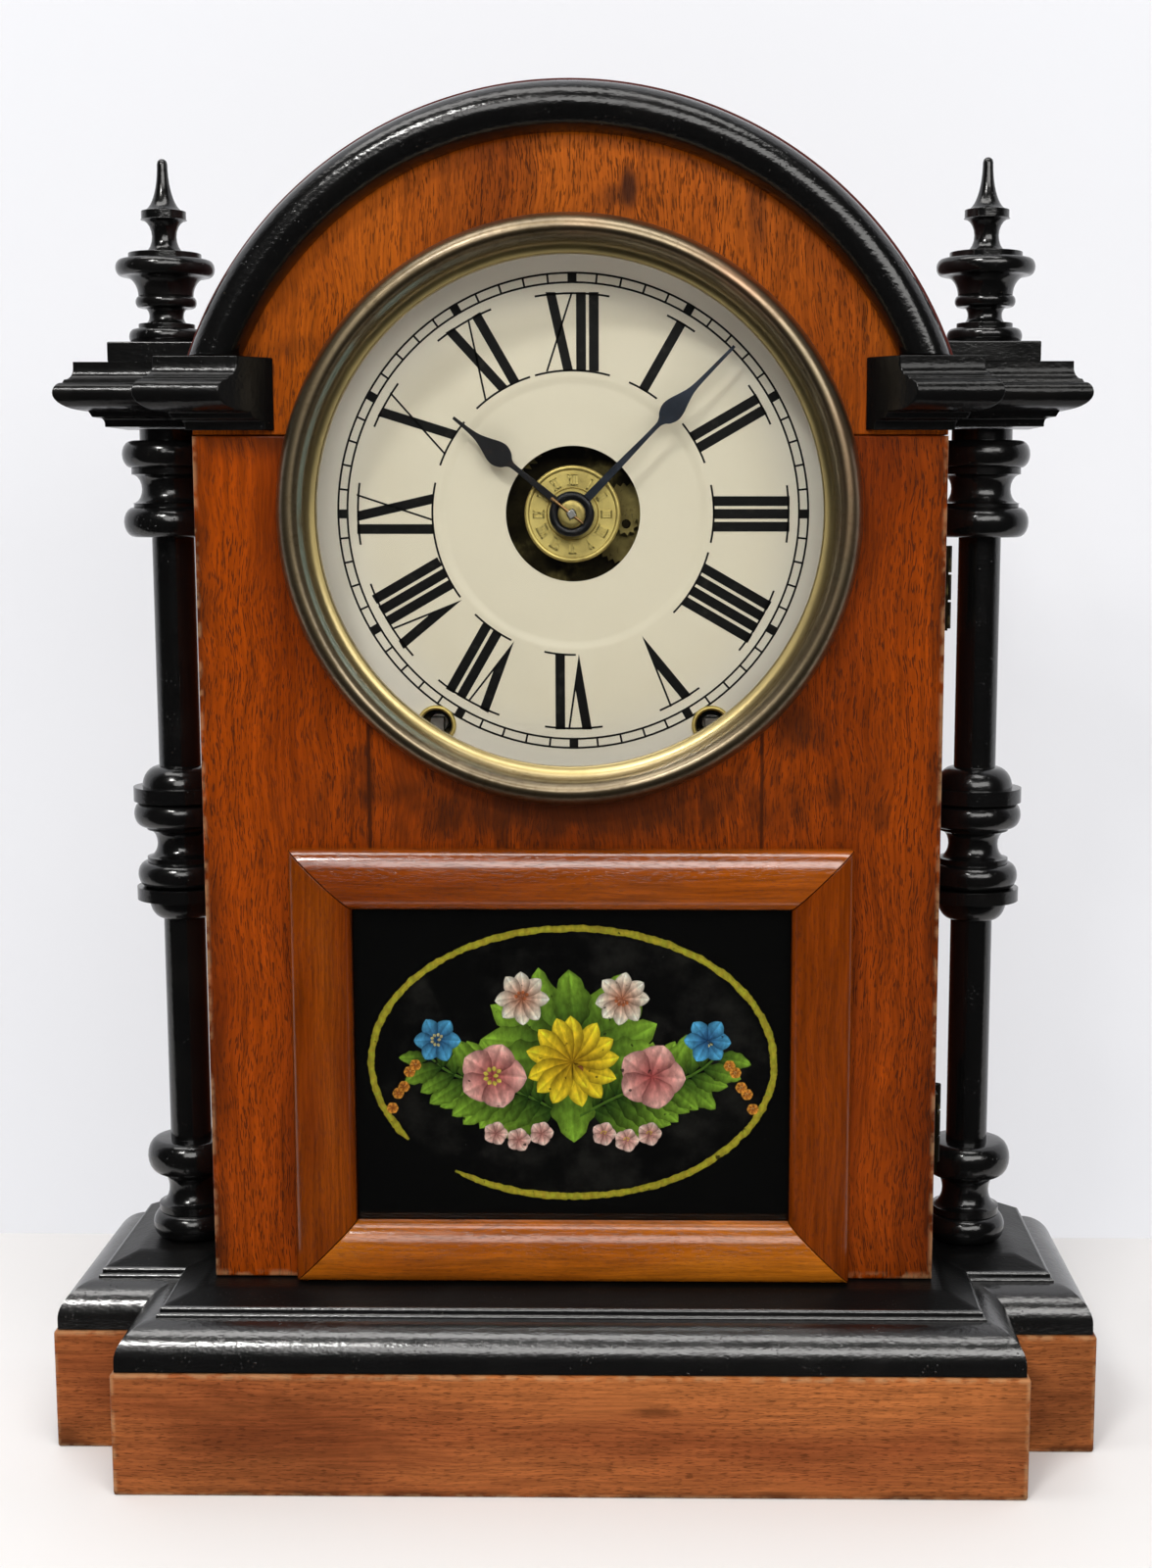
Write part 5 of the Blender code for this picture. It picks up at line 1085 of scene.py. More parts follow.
class CLOCK_OT_base(bpy.types.Operator):
    """Make the walnut plinth and the black moulding on it"""
    bl_idname = "clock.base"
    bl_label = "Base"

    def execute(self, context):
        wood = clock().wood
        tones = (wood.plinth_light, wood.plinth_dark)
        dark_patches = (((-0.080, 0, 0.014), (0.045, 0.022), 0.35), ((0.142, 0, 0.016), (0.040, 0.030), 0.45),
                 ((-0.142, 0, 0.003), (0.010, 0.007), 0.65), ((0.022, 0, 0.024), (0.008, 0.002), 0.6))
        finish = walnut("plinth_walnut", tones, "X", 0.31, pores=0.6, gloss=0.44, dark_patches=dark_patches,
                        rub=rub_plinth, darken_where=plinth_foot_darkening, wave=0.22)
        top = PLINTH_HIGH.z
        levels = [0, 0.0015, 0.009, top / 2, top - 0.009, top - 0.0015, top]
        mesh = loft("plinth", fine([base_ring(0, level) for level in levels], 0.006))
        add_piece("plinth", mesh, finish, "case", ("base_plinth",), 0.0007)

        bottom = MOULDING_LOW.z
        height = MOULDING_HIGH.z - bottom
        shoulder = (MOULDING_LEDGE + THUMB_RUN, bottom + THUMB_RISE - 0.0010)
        thumb = (MOULDING_LEDGE, bottom + height - THUMB_RISE - FILLET_RISE)
        steps = [(MOULDING_LEDGE, bottom), thumb] + quarter(thumb, shoulder, 14, False)
        lip = shoulder[1] + 2.2 * FILLET_RISE
        round_edge = 0.0009
        steps.append((shoulder[0], shoulder[1] + 0.0002))
        steps += quarter(steps[-1], (shoulder[0] + round_edge, shoulder[1] + 0.0002 + round_edge), 5, False)
        steps.append((steps[-1][0], lip - round_edge))
        steps += quarter(steps[-1], (steps[-1][0] + round_edge, lip), 5, False)
        foot, crown = Vector(steps[-1]), Vector((shoulder[0] + SLOPE_RUN, MOULDING_HIGH.z))
        steps += [tuple(foot.lerp(crown, i / 5)) for i in range(1, 6)]
        steps.append((crown.x + 0.0015, crown.y))
        finish = lacquer("base_lacquer", 0.22, shine=1.0)
        mesh = loft("base_mould", fine([base_ring(inset, level) for inset, level in distinct(steps)], 0.005))
        made = add_piece("base_mould", mesh, finish, "case", ("base_moulding",), 0.0004)
        made.data.materials.append(lacquer("base_top_lacquer", 0.32, 0.6, 0.12))
        for face in made.data.polygons:
            face.material_index = int(face.center.z > lip)
        return {"FINISHED"}


class CLOCK_OT_case(bpy.types.Operator):
    """Make the sides, the arched top and the back of the case"""
    bl_idname = "clock.case"
    bl_label = "Case"

    def execute(self, context):
        wood = clock().wood
        tones = (wood.walnut_light, wood.walnut_dark)
        side_wood = walnut("side_walnut", tones, "Z", 0.83, pores=0.8, gloss=0.4)
        for name in ("left", "right"):
            low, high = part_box("case_side_" + name)
            mesh = block("side_" + name, low, high, high.z)
            add_piece("side_" + name, mesh, side_wood, "case", ("case_side_" + name,), 0.0004)

        section = [(SHELL_RADIUS, -SHELL_LOW.y), (SHELL_RADIUS - SHELL_THICKNESS, -SHELL_LOW.y),
                   (SHELL_RADIUS - SHELL_THICKNESS, -SHELL_HIGH.y), (SHELL_RADIUS, -SHELL_HIGH.y)]
        start = math.asin((SHELL_LOW.z - ARCH_Z) / SHELL_RADIUS)
        mesh = bent("arched_top", section, start, math.pi - start, 96, Vector((0, 0, ARCH_Z)))
        add_piece("arched_top", mesh, stained_rim("top_stain"), "case", ("arch_shell",), 0.0004)

        spring = math.asin((SHELL_LOW.z - GAP - ARCH_Z) / (BACK_HIGH.z - ARCH_Z))
        outline = [(-HALF_CASE, BACK_LOW.z), (HALF_CASE, BACK_LOW.z)]
        outline += arc((0, ARCH_Z), BACK_HIGH.z - ARCH_Z, spring, math.pi - spring, 97)
        mesh = board("back", [outline], BACK_LOW.y, BACK_HIGH.y)
        add_piece("back", mesh, pine("back_pine"), "case", ("back_board",))
        return {"FINISHED"}


class CLOCK_OT_columns(bpy.types.Operator):
    """Make the capitals, the turned columns and the finials"""
    bl_idname = "clock.columns"
    bl_label = "Columns"

    def execute(self, context):
        finish = lacquer("column_lacquer", 0.17, 0.4, 0.55, 0.6)
        rough_finish = lacquer("capital_lacquer", 0.19, 0.9, 0.22, 0.8)
        relief = self.door_relief()
        for name, side in SIDES:
            place = Matrix.Translation((side * COLUMN_X, COLUMN_Y, 0))
            mesh = turned("column_turning_" + name, self.column_outline(), 72, place)
            add_piece("column_turning_" + name, mesh, finish, "case",
                      ("column_" + name,), 0.0002)
            self.finial(name, finish, place)
            self.capital(name, side, rough_finish, relief)
        return {"FINISHED"}

    def column_outline(self):
        """Radius and height down the column."""
        top, bottom = COLUMN_HIGH.z, COLUMN_LOW.z
        middle = top - COLUMN_MIDDLE_DROP
        points = [(0, top)] + turned_outline(COLUMN_HEAD, top, 0)
        points += [(COLUMN_RADIUS, top - height_of(COLUMN_HEAD)), (COLUMN_RADIUS, middle)]
        points += turned_outline(COLUMN_MIDDLE, middle, COLUMN_RADIUS)
        foot = bottom + height_of(COLUMN_FOOT)
        points += [(COLUMN_RADIUS, foot)] + turned_outline(COLUMN_FOOT, foot, COLUMN_RADIUS) + [(0, bottom)]
        return distinct(points)

    def finial(self, name, finish, place):
        """The turned spire, and the square plinth under it."""
        plinth_top = FINIAL_LOW.z + FINIAL_PLINTH
        points = turned_outline(FINIAL, FINIAL_HIGH.z, 0) + [(0, plinth_top)]
        mesh = turned("finial_turning_" + name, distinct(points), 72, place)
        add_piece("finial_turning_" + name, mesh, finish, "case",
                  ("finial_" + name,), 0.00015)
        mesh = block("finial_block_" + name, *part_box("finial_" + name), plinth_top)
        add_piece("finial_block_" + name, mesh, finish, "case", (), 0.0004)

    def door_relief(self):
        """Points and way of the cut that clears the open door, read from the right capital."""
        inner = CAPITAL_LOW.x
        nose = min(p.y for p in points_of("capital_right"))
        cut = [p for p in points_of("capital_right") if p.x > inner + GAP and p.y < nose + GAP]
        start = min(cut, key=lambda p: p.x)
        hinge = next(j for j in frame["joints"] if j["name"] == "door_hinge")
        turn = math.radians(hinge["range_deg"][1])
        return start, Vector((math.cos(turn), math.sin(turn)))

    def capital(self, name, side, finish, relief):
        """The moulded block over a column. The right one is cut back for the door."""
        start, way = relief
        rings = []
        inner = CAPITAL_LOW.x
        for stand, height in capital_outline(CAPITAL_HIGH.z - CAPITAL_LOW.z):
            front = COLUMN_Y - CAPITAL_HALF - stand
            back = COLUMN_Y + CAPITAL_HALF + stand
            outer = COLUMN_X + CAPITAL_SIDE + stand
            corner = [(inner, front), (inner, front)]
            if side > 0:
                edge_x = start.x - (front - start.y) * way.y / way.x
                edge_y = start.y - (inner - start.x) * way.x / way.y
                if edge_x > inner:
                    corner = [(inner, edge_y), (edge_x, front)]
            if corner[0] == corner[1]:
                corner = [(inner, front + 0.00002), (inner + 0.00002, front)]
            ring = corner + [(outer, front), (outer, back), (inner, back)]
            rings.append([(side * x, y, CAPITAL_LOW.z + height) for x, y in ring])
        mesh = loft("capital_block_" + name, rings)
        add_piece("capital_block_" + name, mesh, finish, "case",
                  ("capital_" + name,), 0.0003)


class CLOCK_OT_door(bpy.types.Operator):
    """Make the door's panels, its capitals and the arch moulding"""
    bl_idname = "clock.door"
    bl_label = "Door"

    def execute(self, context):
        wood = clock().wood
        tones = (wood.walnut_light, wood.walnut_dark)
        opening = DOOR_OPENING
        centre = (0, DIAL_Z)
        dark_patches = (((0.0155, 0, 0.3395), (0.0030, 0.0085), 0.9), ((0.0125, 0, 0.3375), (0.0075, 0.0045), 0.6),
                 ((0.048, 0, 0.332), (0.0035, 0.012), 0.6), ((-0.071, 0, 0.300), (0.010, 0.004), 0.35))
        arch_wood = walnut("arch_walnut", (wood.arch_light, wood.arch_dark), "Z", 0.0, dark_patches=dark_patches,
                           stained_beyond=MOULD_RADIUS - 0.0004)
        bottom = ARCH_PANEL_LOW.z
        shoulder = SHELL_LOW.z
        notch = math.asin((bottom - DIAL_Z) / opening)
        spring = math.asin((shoulder - ARCH_Z) / RIM_RADIUS)
        outline = [(HALF_CASE, bottom), (HALF_CASE, shoulder)]
        outline += arc((0, ARCH_Z), RIM_RADIUS, spring, math.pi - spring, 97)
        outline += [(-HALF_CASE, shoulder), (-HALF_CASE, bottom)]
        outline += arc(centre, opening, math.pi - notch, notch, 61)
        mesh = board("arch_panel", [outline], ARCH_PANEL_LOW.y, ARCH_PANEL_HIGH.y, 0.0003)
        add_piece("arch_panel", mesh, arch_wood, "door", ("door_arch_panel",))

        # Dark patches: the broad one under the dial, at height 0.181, is painted shadow of the bezel; the
        # others are knots
        dark_patches = (((-0.0545, 0, 0.190), (0.004, 0.012), 0.5), ((0.070, 0, 0.186), (0.0025, 0.009), 0.6),
                 ((0.0825, 0, 0.178), (0.003, 0.006), 0.5), ((0.060, 0, 0.201), (0.009, 0.012), 0.75),
                 ((0.0, 0, 0.181), (0.085, 0.017), 0.86), ((-0.096, 0, 0.056), (0.003, 0.006), 0.5))
        seams = ((-0.0535, PANEL_LOW.z, 0.205), (0.0505, PANEL_LOW.z, 0.205))
        lower_wood = walnut("door_walnut", tones, "Z", 0.17, dark_patches=dark_patches, seams=seams, rub=rub_door,
                            darken_where=painted_shade_door)
        notch = math.asin((PANEL_HIGH.z - DIAL_Z) / opening)
        outline = [(-HALF_CASE, PANEL_LOW.z), (HALF_CASE, PANEL_LOW.z), (HALF_CASE, PANEL_HIGH.z),
                   (opening * math.cos(notch), PANEL_HIGH.z)]
        outline += arc(centre, opening, notch, -math.pi - notch, 97)[1:]
        outline.append((-HALF_CASE, PANEL_HIGH.z))
        window = [(GLASS_LOW.x - GAP, GLASS_LOW.z - GAP), (GLASS_HIGH.x + GAP, GLASS_LOW.z - GAP),
                  (GLASS_HIGH.x + GAP, GLASS_HIGH.z + GAP), (GLASS_LOW.x - GAP, GLASS_HIGH.z + GAP)]
        mesh = board("lower_panel", [outline, window], PANEL_LOW.y, PANEL_HIGH.y, 0.0005)
        add_piece("lower_panel", mesh, lower_wood, "door", ("door_lower_panel",))

        self.arch_mould()
        self.capitals()
        return {"FINISHED"}

    def arch_mould(self):
        """The half-round over the arch with two fine lines on its inner half."""
        outer = MOULD_RADIUS
        inner = outer - MOULD_WIDTH
        middle = (outer + inner) / 2
        section = []
        for i in range(33):
            t = math.pi / 2 - math.pi * i / 32
            radius = middle + MOULD_WIDTH / 2 * math.sin(t)
            across = (outer - radius) / MOULD_WIDTH
            line = max(max(0, 1 - abs(across - spot) / 0.035) for spot in (0.66, 0.80))
            section.append((radius, MOULD_RISE * math.cos(t) ** 0.85 - 0.00016 * line))
        low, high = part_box("arch_moulding")
        back = -(high.y - FACE)
        section += [(inner, back), (outer, back)]
        start = math.asin((low.z - ARCH_Z) / middle)
        mesh = bent("arch_mould", distinct(section), start, math.pi - start, 120, Vector((0, FACE, ARCH_Z)))
        bm = bmesh.new()
        bm.from_mesh(mesh)
        for vert in bm.verts:
            away = math.hypot(vert.co.x, vert.co.z - ARCH_Z)
            ends = math.asin(min(1, (low.z - ARCH_Z) / away))
            angle = math.atan2(vert.co.z - ARCH_Z, vert.co.x)
            share_round = (angle - start) / (math.pi - 2 * start)
            angle = ends + (math.pi - 2 * ends) * share_round
            vert.co.x = away * math.cos(angle)
            vert.co.z = ARCH_Z + away * math.sin(angle)
        mesh = mesh_from(bm, "arch_mould", 30)
        add_piece("arch_mould", mesh, lacquer("arch_lacquer", 0.17, 0.2, 0.45, 1.1), "door",
                  ("arch_moulding",))

    def capitals(self):
        """The capitals on the door, mitred outside and cut back inside."""
        finish = lacquer("door_capital_lacquer", 0.19, 1.3, 0.22, 0.8)
        back = DOOR_CAPITAL_HIGH.y
        for name, side in SIDES:
            rings = []
            for stand, height in capital_outline(DOOR_CAPITAL_HIGH.z - DOOR_CAPITAL_LOW.z):
                front = FACE - DOOR_CAPITAL_STAND - stand
                inner = [HALF_CASE - DOOR_CAPITAL_LENGTH + (FACE - y) * DOOR_CAPITAL_SLANT
                         for y in (back, front)]
                outer = [HALF_CASE + FACE - y for y in (back, front)]
                ring = [(inner[0], back), (outer[0], back), (outer[1], front), (inner[1], front)]
                rings.append([(side * x, y, DOOR_CAPITAL_LOW.z + height) for x, y in ring])
            mesh = loft("door_capital_block_" + name, rings)
            add_piece("door_capital_block_" + name, mesh, finish, "door",
                      ("door_capital_" + name,), 0.0003)


class CLOCK_OT_tablet(bpy.types.Operator):
    """Make the mitred frame, the lower glass and the painting behind it"""
    bl_idname = "clock.tablet"
    bl_label = "Painted glass"

    def execute(self, context):
        self.rails()
        self.glass()
        painting = brush_paint("tablet_colours")
        self.oval(painting)
        self.flowers(painting)
        return {"FINISHED"}

    def rails(self):
        """Four mitred rails with a raised outer edge and a hollow slope to the glass."""
        wood = clock().wood
        tones = (wood.rail_light, wood.rail_dark)
        width = RAIL_HIGH.x - RAIL_LOW.x
        section = [(0, 0), (0, RAIL_EDGE)] + quarter((0, RAIL_EDGE), (width * 0.42, RAIL_CROWN), 10, False)
        section += quarter(section[-1], (width, RAIL_LIP), 12, True) + [(width, 0)]
        outer_x = -RAIL_LOW.x
        outer_z = FRAME_TOP - TABLET.z
        back = FACE - GAP
        # Name, quarter turns, reach, half length, way of the grain, depth of each colour, shine. The depths
        # are painted light and shade: the bottom rail, whose slope faces up, lighter, the side rails darker,
        # the right one darkest.
        cuts = (("bottom", 0, outer_z, outer_x, "X", (1.45, 1.60, 0.7), 0.55),
                ("left", 3, outer_x, outer_z, "Z", (0.72, 0.55, 0.15), 0.45),
                ("top", 2, outer_z, outer_x, "X", (0.84, 0.63, 0.12), 1.0),
                ("right", 1, outer_x, outer_z, "Z", (0.47, 0.28, 0.06), 0.40))
        for name, turns, reach, half, axis, painted_light_depths, shine in cuts:
            turn = Matrix.Rotation(turns * math.pi / 2, 2)
            rings = []
            for end in (-1, 1):
                ring = []
                for across, rise in section:
                    flat = turn @ Vector((end * (half - across - GAP / 2), across - reach))
                    ring.append((flat.x, back - rise, TABLET.z + flat.y))
                rings.append(ring)
            # Each rail's tones scaled for its painted light or shade
            cut = [[c * depth for c, depth in zip(tone, painted_light_depths)] for tone in tones]
            finish = walnut("rail_walnut_" + name, cut, axis, 0.41 + turns * 0.23, pores=0.35, gloss=0.14,
                            shine=shine, wave=0.4)
            places = [0, 0.012] + [0.04 * i for i in range(1, 25)] + [0.988, 1]
            mesh = loft("rail_" + name, between(*rings, places), 40)
            add_piece("rail_" + name, mesh, finish, "door", ("tablet_rail_" + name,), 0.0002)

    def glass(self):
        """A clear sheet with the black ground close behind it."""
        low, high = GLASS_LOW, GLASS_HIGH
        outline = [(low.x, low.z), (high.x, low.z), (high.x, high.z), (low.x, high.z)]
        behind = high.y - GROUND_THICKNESS
        mesh = board("tablet_sheet", [outline], low.y, behind - GAP, 0.0002)
        add_piece("tablet_sheet", mesh, window_glass("tablet_clear_glass"), "door")
        mesh = board("tablet_black", [outline], behind, high.y, 0.0001)
        add_piece("tablet_black", mesh, tablet_ground("tablet_ground"), "door",
                  ("tablet_glass",))

    def painted(self, name, finish, shapes, start=0.00001, step=0.000008):
        """Flat strokes of paint: rows of points with a colour each, one layer over another."""
        bm = bmesh.new()
        held = bm.verts.layers.float_color.new("paint")
        depth = GLASS_HIGH.y - GROUND_THICKNESS
        for order, rows in enumerate(shapes):
            level = depth - start - step * (order % 14)
            grid = []
            for row in rows:
                line = []
                for (u, v), tint in row:
                    vert = bm.verts.new((TABLET.x + u, level, TABLET.z + v))
                    vert[held] = (*tint, 1.0)
                    line.append(vert)
                grid.append(line)
            for first, second in zip(grid, grid[1:]):
                for i in range(len(first) - 1):
                    bm.faces.new((first[i], first[i + 1], second[i + 1], second[i]))
        bmesh.ops.remove_doubles(bm, verts=bm.verts, dist=0.0000001)
        bmesh.ops.recalc_face_normals(bm, faces=bm.faces)
        for face in bm.faces:
            if face.normal.y > 0:
                face.normal_flip()
        add_piece(name, mesh_from(bm, name), finish, "door")

    def oval(self, finish):
        """The oval line, uneven in width and worn away at the lower left."""
        tablet = clock().tablet
        hand = random.Random(tablet.seed)
        half_u, half_v = tablet.oval_width / 2, tablet.oval_height / 2
        count = 420
        start, end = math.radians(234), math.radians(215 + 360)
        rows = []
        outer = inner = 0.0
        for i in range(count + 1):
            t = start + (end - start) * i / count
            outer = outer * 0.6 + hand.uniform(-0.4, 0.4)
            inner = inner * 0.6 + hand.uniform(-0.4, 0.4)
            near_end = min(i, count - i) / 10
            width = tablet.line_width * min(1, 0.35 + near_end)
            if hand.random() < 0.06:
                outer -= 0.5
            edges = (width * (-0.5 + 0.22 * inner), width * (0.5 + 0.22 * outer))
            direction = Vector((math.cos(t) / half_u, math.sin(t) / half_v)).normalized()
            row = []
            for off, dim in zip((edges[0], (edges[0] + edges[1]) / 2, edges[1]), (0.75, 1.0, 0.7)):
                spot = Vector((half_u * math.cos(t), half_v * math.sin(t))) + direction * off
                row.append(((spot.x, spot.y), [c * dim * hand.uniform(0.85, 1.05) for c in tablet.line]))
            rows.append(row)
        self.painted("tablet_oval", finish, [rows])

    def leaf(self, hand, root, angle, size, width, tints, ripple=0.10, point=1.0):
        """A leaf or petal: rows from its root to its tip, lighter along its middle."""
        rows = []
        count = 14
        sway = hand.uniform(-0.25, 0.25)
        for i in range(count + 1):
            t = i / count
            half = width * math.sin(math.pi * min(1, t ** point)) ** 0.75
            half *= 1 + ripple * math.sin(t * 23 + sway * 9)
            bend = angle + sway * (t - 0.3)
            along = Vector((math.cos(bend), math.sin(bend))) * size * t
            side = Vector((-math.sin(bend), math.cos(bend)))
            row = []
            for k, share_across in enumerate((-1, -0.55, -0.08, 0.08, 0.55, 1)):
                spot = Vector(root) + along + side * half * share_across
                shade = (0.45, 0.8, 1.25, 0.75, 1.05, 0.6)[k] * (0.55 + 0.6 * t) * hand.uniform(0.9, 1.1)
                tint = [a + (b - a) * min(1, t * 1.2) for a, b in zip(*tints)]
                row.append(((spot.x, spot.y), [min(1, c * shade) for c in tint]))
            rows.append(row)
        return rows

    def blossom(self, hand, middle, radius, petals, tints, eye, width=0.42, layers=1):
        """Petals round a middle, with a dotted eye over them."""
        shapes = []
        for ring in range(layers):
            size = radius * (1 - 0.34 * ring)
            for i in range(petals):
                angle = math.tau * (i + 0.5 * ring) / petals + hand.uniform(-0.08, 0.08)
                shapes.append(self.leaf(hand, middle, angle, size, size * width, tints, 0.03, 1.35))
        for i in range(9):
            angle = math.tau * i / 9
            reach = radius * (0.14 if i else 0)
            spot = (middle[0] + reach * math.cos(angle), middle[1] + reach * math.sin(angle))
            shapes.append(self.leaf(hand, spot, angle, radius * 0.16, radius * 0.07, (eye, eye), 0.0))
        return shapes

    def flowers(self, finish):
        """A mirrored garland: leaves along two stems, daisies, bells and berries."""
        hand = random.Random(clock().tablet.seed + 1)
        green = ((0.02, 0.075, 0.008), (0.22, 0.40, 0.035))
        stem_green = ((0.05, 0.12, 0.015), (0.10, 0.20, 0.02))
        leaves, blooms = [], []
        for side in (-1, 1):
            stem = [Vector((side * (0.002 + 0.040 * t), -0.0145 + 0.024 * t * t + 0.004 * math.sin(t * 5)))
                    for t in (i / 12 for i in range(13))]
            leaves.append([[((p.x, p.y - 0.0004), stem_green[0]), ((p.x, p.y + 0.0004), stem_green[1])]
                           for p in stem])
            for i, spot in enumerate(stem[1:-1]):
                heading = math.atan2(stem[i + 2].y - stem[i + 1].y, stem[i + 2].x - stem[i + 1].x)
                for turn in (-0.95, 0.95):
                    size = 0.0165 * (1 - 0.045 * i) * hand.uniform(0.9, 1.15)
                    leaves.append(self.leaf(hand, spot, heading + turn, size, size * 0.24, green))
            for i in range(4):
                angle = math.pi / 2 - side * (0.35 + 0.42 * i)
                size = 0.025 - 0.002 * i
                leaves.append(self.leaf(hand, (side * 0.004, 0.002), angle, size, 0.0052, green, 0.12))
            blooms += self.blossom(hand, (side * 0.0215, -0.0035), 0.0092, 5,
                                   ((0.62, 0.10, 0.10), (0.86, 0.46, 0.42)), (0.75, 0.62, 0.10), 0.50)
            blooms += self.blossom(hand, (side * 0.0365, 0.0065), 0.0064, 6,
                                   ((0.03, 0.12, 0.34), (0.10, 0.42, 0.72)), (0.80, 0.72, 0.35), 0.36)
            blooms += self.blossom(hand, (side * 0.0135, 0.0180), 0.0074, 8,
                                   ((0.70, 0.22, 0.10), (0.90, 0.82, 0.70)), (0.55, 0.16, 0.06), 0.30)
            for i in range(5):
                spot = (side * (0.0425 + 0.0016 * i), -0.0005 - 0.0030 * i + 0.0011 * (i % 2))
                blooms += self.blossom(hand, spot, 0.0016, 6, ((0.55, 0.12, 0.02), (0.85, 0.36, 0.05)),
                                       (0.9, 0.6, 0.2), 0.6)
            for i in range(3):
                spot = (side * (0.0085 + 0.0062 * i), -0.0195 - 0.0018 * (i % 2))
                blooms += self.blossom(hand, spot, 0.0034, 5, ((0.70, 0.25, 0.22), (0.90, 0.62, 0.55)),
                                       (0.8, 0.5, 0.1), 0.5)
        leaves.append(self.leaf(hand, (0, -0.002), -math.pi / 2, 0.020, 0.0058, green, 0.12))
        leaves.append(self.leaf(hand, (0, 0.008), math.pi / 2, 0.018, 0.0050, green, 0.12))
        blooms += self.blossom(hand, (0, 0.0005), 0.0128, 13, ((0.62, 0.34, 0.01), (0.90, 0.68, 0.03)),
                               (0.30, 0.10, 0.03), 0.22, 2)
        self.painted("tablet_leaves", finish, leaves)
        self.painted("tablet_blossoms", finish, blooms, 0.00014)


class CLOCK_OT_bezel(bpy.types.Operator):
    """Make the brass bezel and the glass it holds"""
    bl_idname = "clock.bezel"
    bl_label = "Bezel"

    def execute(self, context):
        rise = FACE - BEZEL_LOW.y
        back = FACE - BEZEL_HIGH.y
        seat_level = FACE - BEZEL_GLASS_LOW.y + GAP
        sight, outer = BEZEL_SIGHT, BEZEL_RADIUS
        radius = radii_of("bezel_glass")[1]
        seat = radius + GAP
        crest = outer - 0.0040
        roll_foot = (sight + 0.0034, rise * 0.50)
        points = [(outer - 0.0004, GAP), (outer, 0.0012), (outer, 0.0022)]
        points += quarter(points[-1], (crest, rise), 12, False)
        points += quarter(points[-1], roll_foot, 10, True)
        points += [(roll_foot[0] - 0.0003, roll_foot[1] - 0.0004)]
        points += quarter(points[-1], (sight + 0.0003, 0.0012), 8, False)
        points += [(sight, 0.0008), (sight, seat_level), (seat, seat_level), (seat, back),
                   (seat + 0.0015, back), (seat + 0.0015, GAP)]
        place = facing(0, FACE, DIAL_Z)
        mesh = turned("bezel_ring", distinct(points), 128, place, True)
        add_piece("bezel_ring", mesh, bezel_brass("bezel_brass"), "door", ("bezel",))

        front, rear = FACE - BEZEL_GLASS_LOW.y, FACE - BEZEL_GLASS_HIGH.y
        edge = 0.0003
        points = [(0, front), (radius - edge, front), (radius, front - edge), (radius, rear + edge),
                  (radius - edge, rear), (0, rear)]
        mesh = turned("dial_glass", points, 96, place)
        add_piece("dial_glass", mesh, window_glass("dial_clear_glass"), "door",
                  ("bezel_glass",))
        return {"FINISHED"}


def numeral(text, inner, outer, bar, thin, overhang):
    """Outlines of a Roman figure: place across, then place along the radius."""
    widths = {"I": bar, "V": bar * 2.5, "X": bar * 2.8}
    space = bar * 0.31
    total = sum(widths[c] for c in text) + space * (len(text) - 1)
    left = -total / 2
    shapes = []
    feet = []
    for letter in text:
        right = left + widths[letter]
        if letter == "I":
            shapes.append([(left, inner), (right, inner), (right, outer), (left, outer)])
            feet.append((left, right))
        elif letter == "V":
            apex = (left + right) / 2 + bar * 0.1
            part = 1 - bar / (right - left)
            fork = (right - (right - apex) * part, outer - (outer - inner) * part)
            shapes.append([(apex, inner), fork, (left + bar, outer), (left, outer)])
            shapes.append([(fork[0] - thin, fork[1]), fork, (right, outer), (right - thin, outer)])
        else:
            shapes.append([(right - bar, inner), (right, inner), (left + bar, outer), (left, outer)])
            shapes.append([(left, inner), (left + thin, inner), (right, outer), (right - thin, outer)])
            feet.append((left, right))
        left = right + space
    spans = [(outer, -total / 2 - overhang, total / 2 + overhang)]
    if feet:
        spans.append((inner, feet[0][0] - overhang, feet[-1][1] + overhang * (1 if text[-1] != "V" else 0.4)))
    for radius, start, end in spans:
        low, high = (radius - thin, radius) if radius == outer else (radius, radius + thin)
        angles = [math.pi / 2 - (start + (end - start) * i / 10) / radius for i in range(11)]
        shapes.append(strip([(low * math.cos(a), low * math.sin(a)) for a in angles],
                            [(high * math.cos(a), high * math.sin(a)) for a in angles]))
    return shapes


ROMAN = ("XII", "I", "II", "III", "IIII", "V", "VI", "VII", "VIII", "IX", "X", "XI")


def around(angle):
    """A place across and along a radius, turned clockwise by an angle, on the dial's plane."""
    def spread(place, height):
        x, r = place
        return (r * math.sin(angle) + x * math.cos(angle), -height,
                DIAL_Z + r * math.cos(angle) - x * math.sin(angle))
    return spread


def ring_line(bm, inner, outer, low, high, count=144):
    """A thin ring on the dial's plane."""
    spread = around(0)
    corners = [(inner, low), (outer, low), (outer, high), (inner, high)]
    rings = []
    for i in range(count):
        a = math.tau * i / count
        rings.append([bm.verts.new(spread((radius * math.sin(a), radius * math.cos(a)), height))
                      for radius, height in corners])
    for i in range(count):
        first, second = rings[i], rings[(i + 1) % count]
        for k in range(4):
            bm.faces.new((first[k], first[(k + 1) % 4], second[(k + 1) % 4], second[k]))


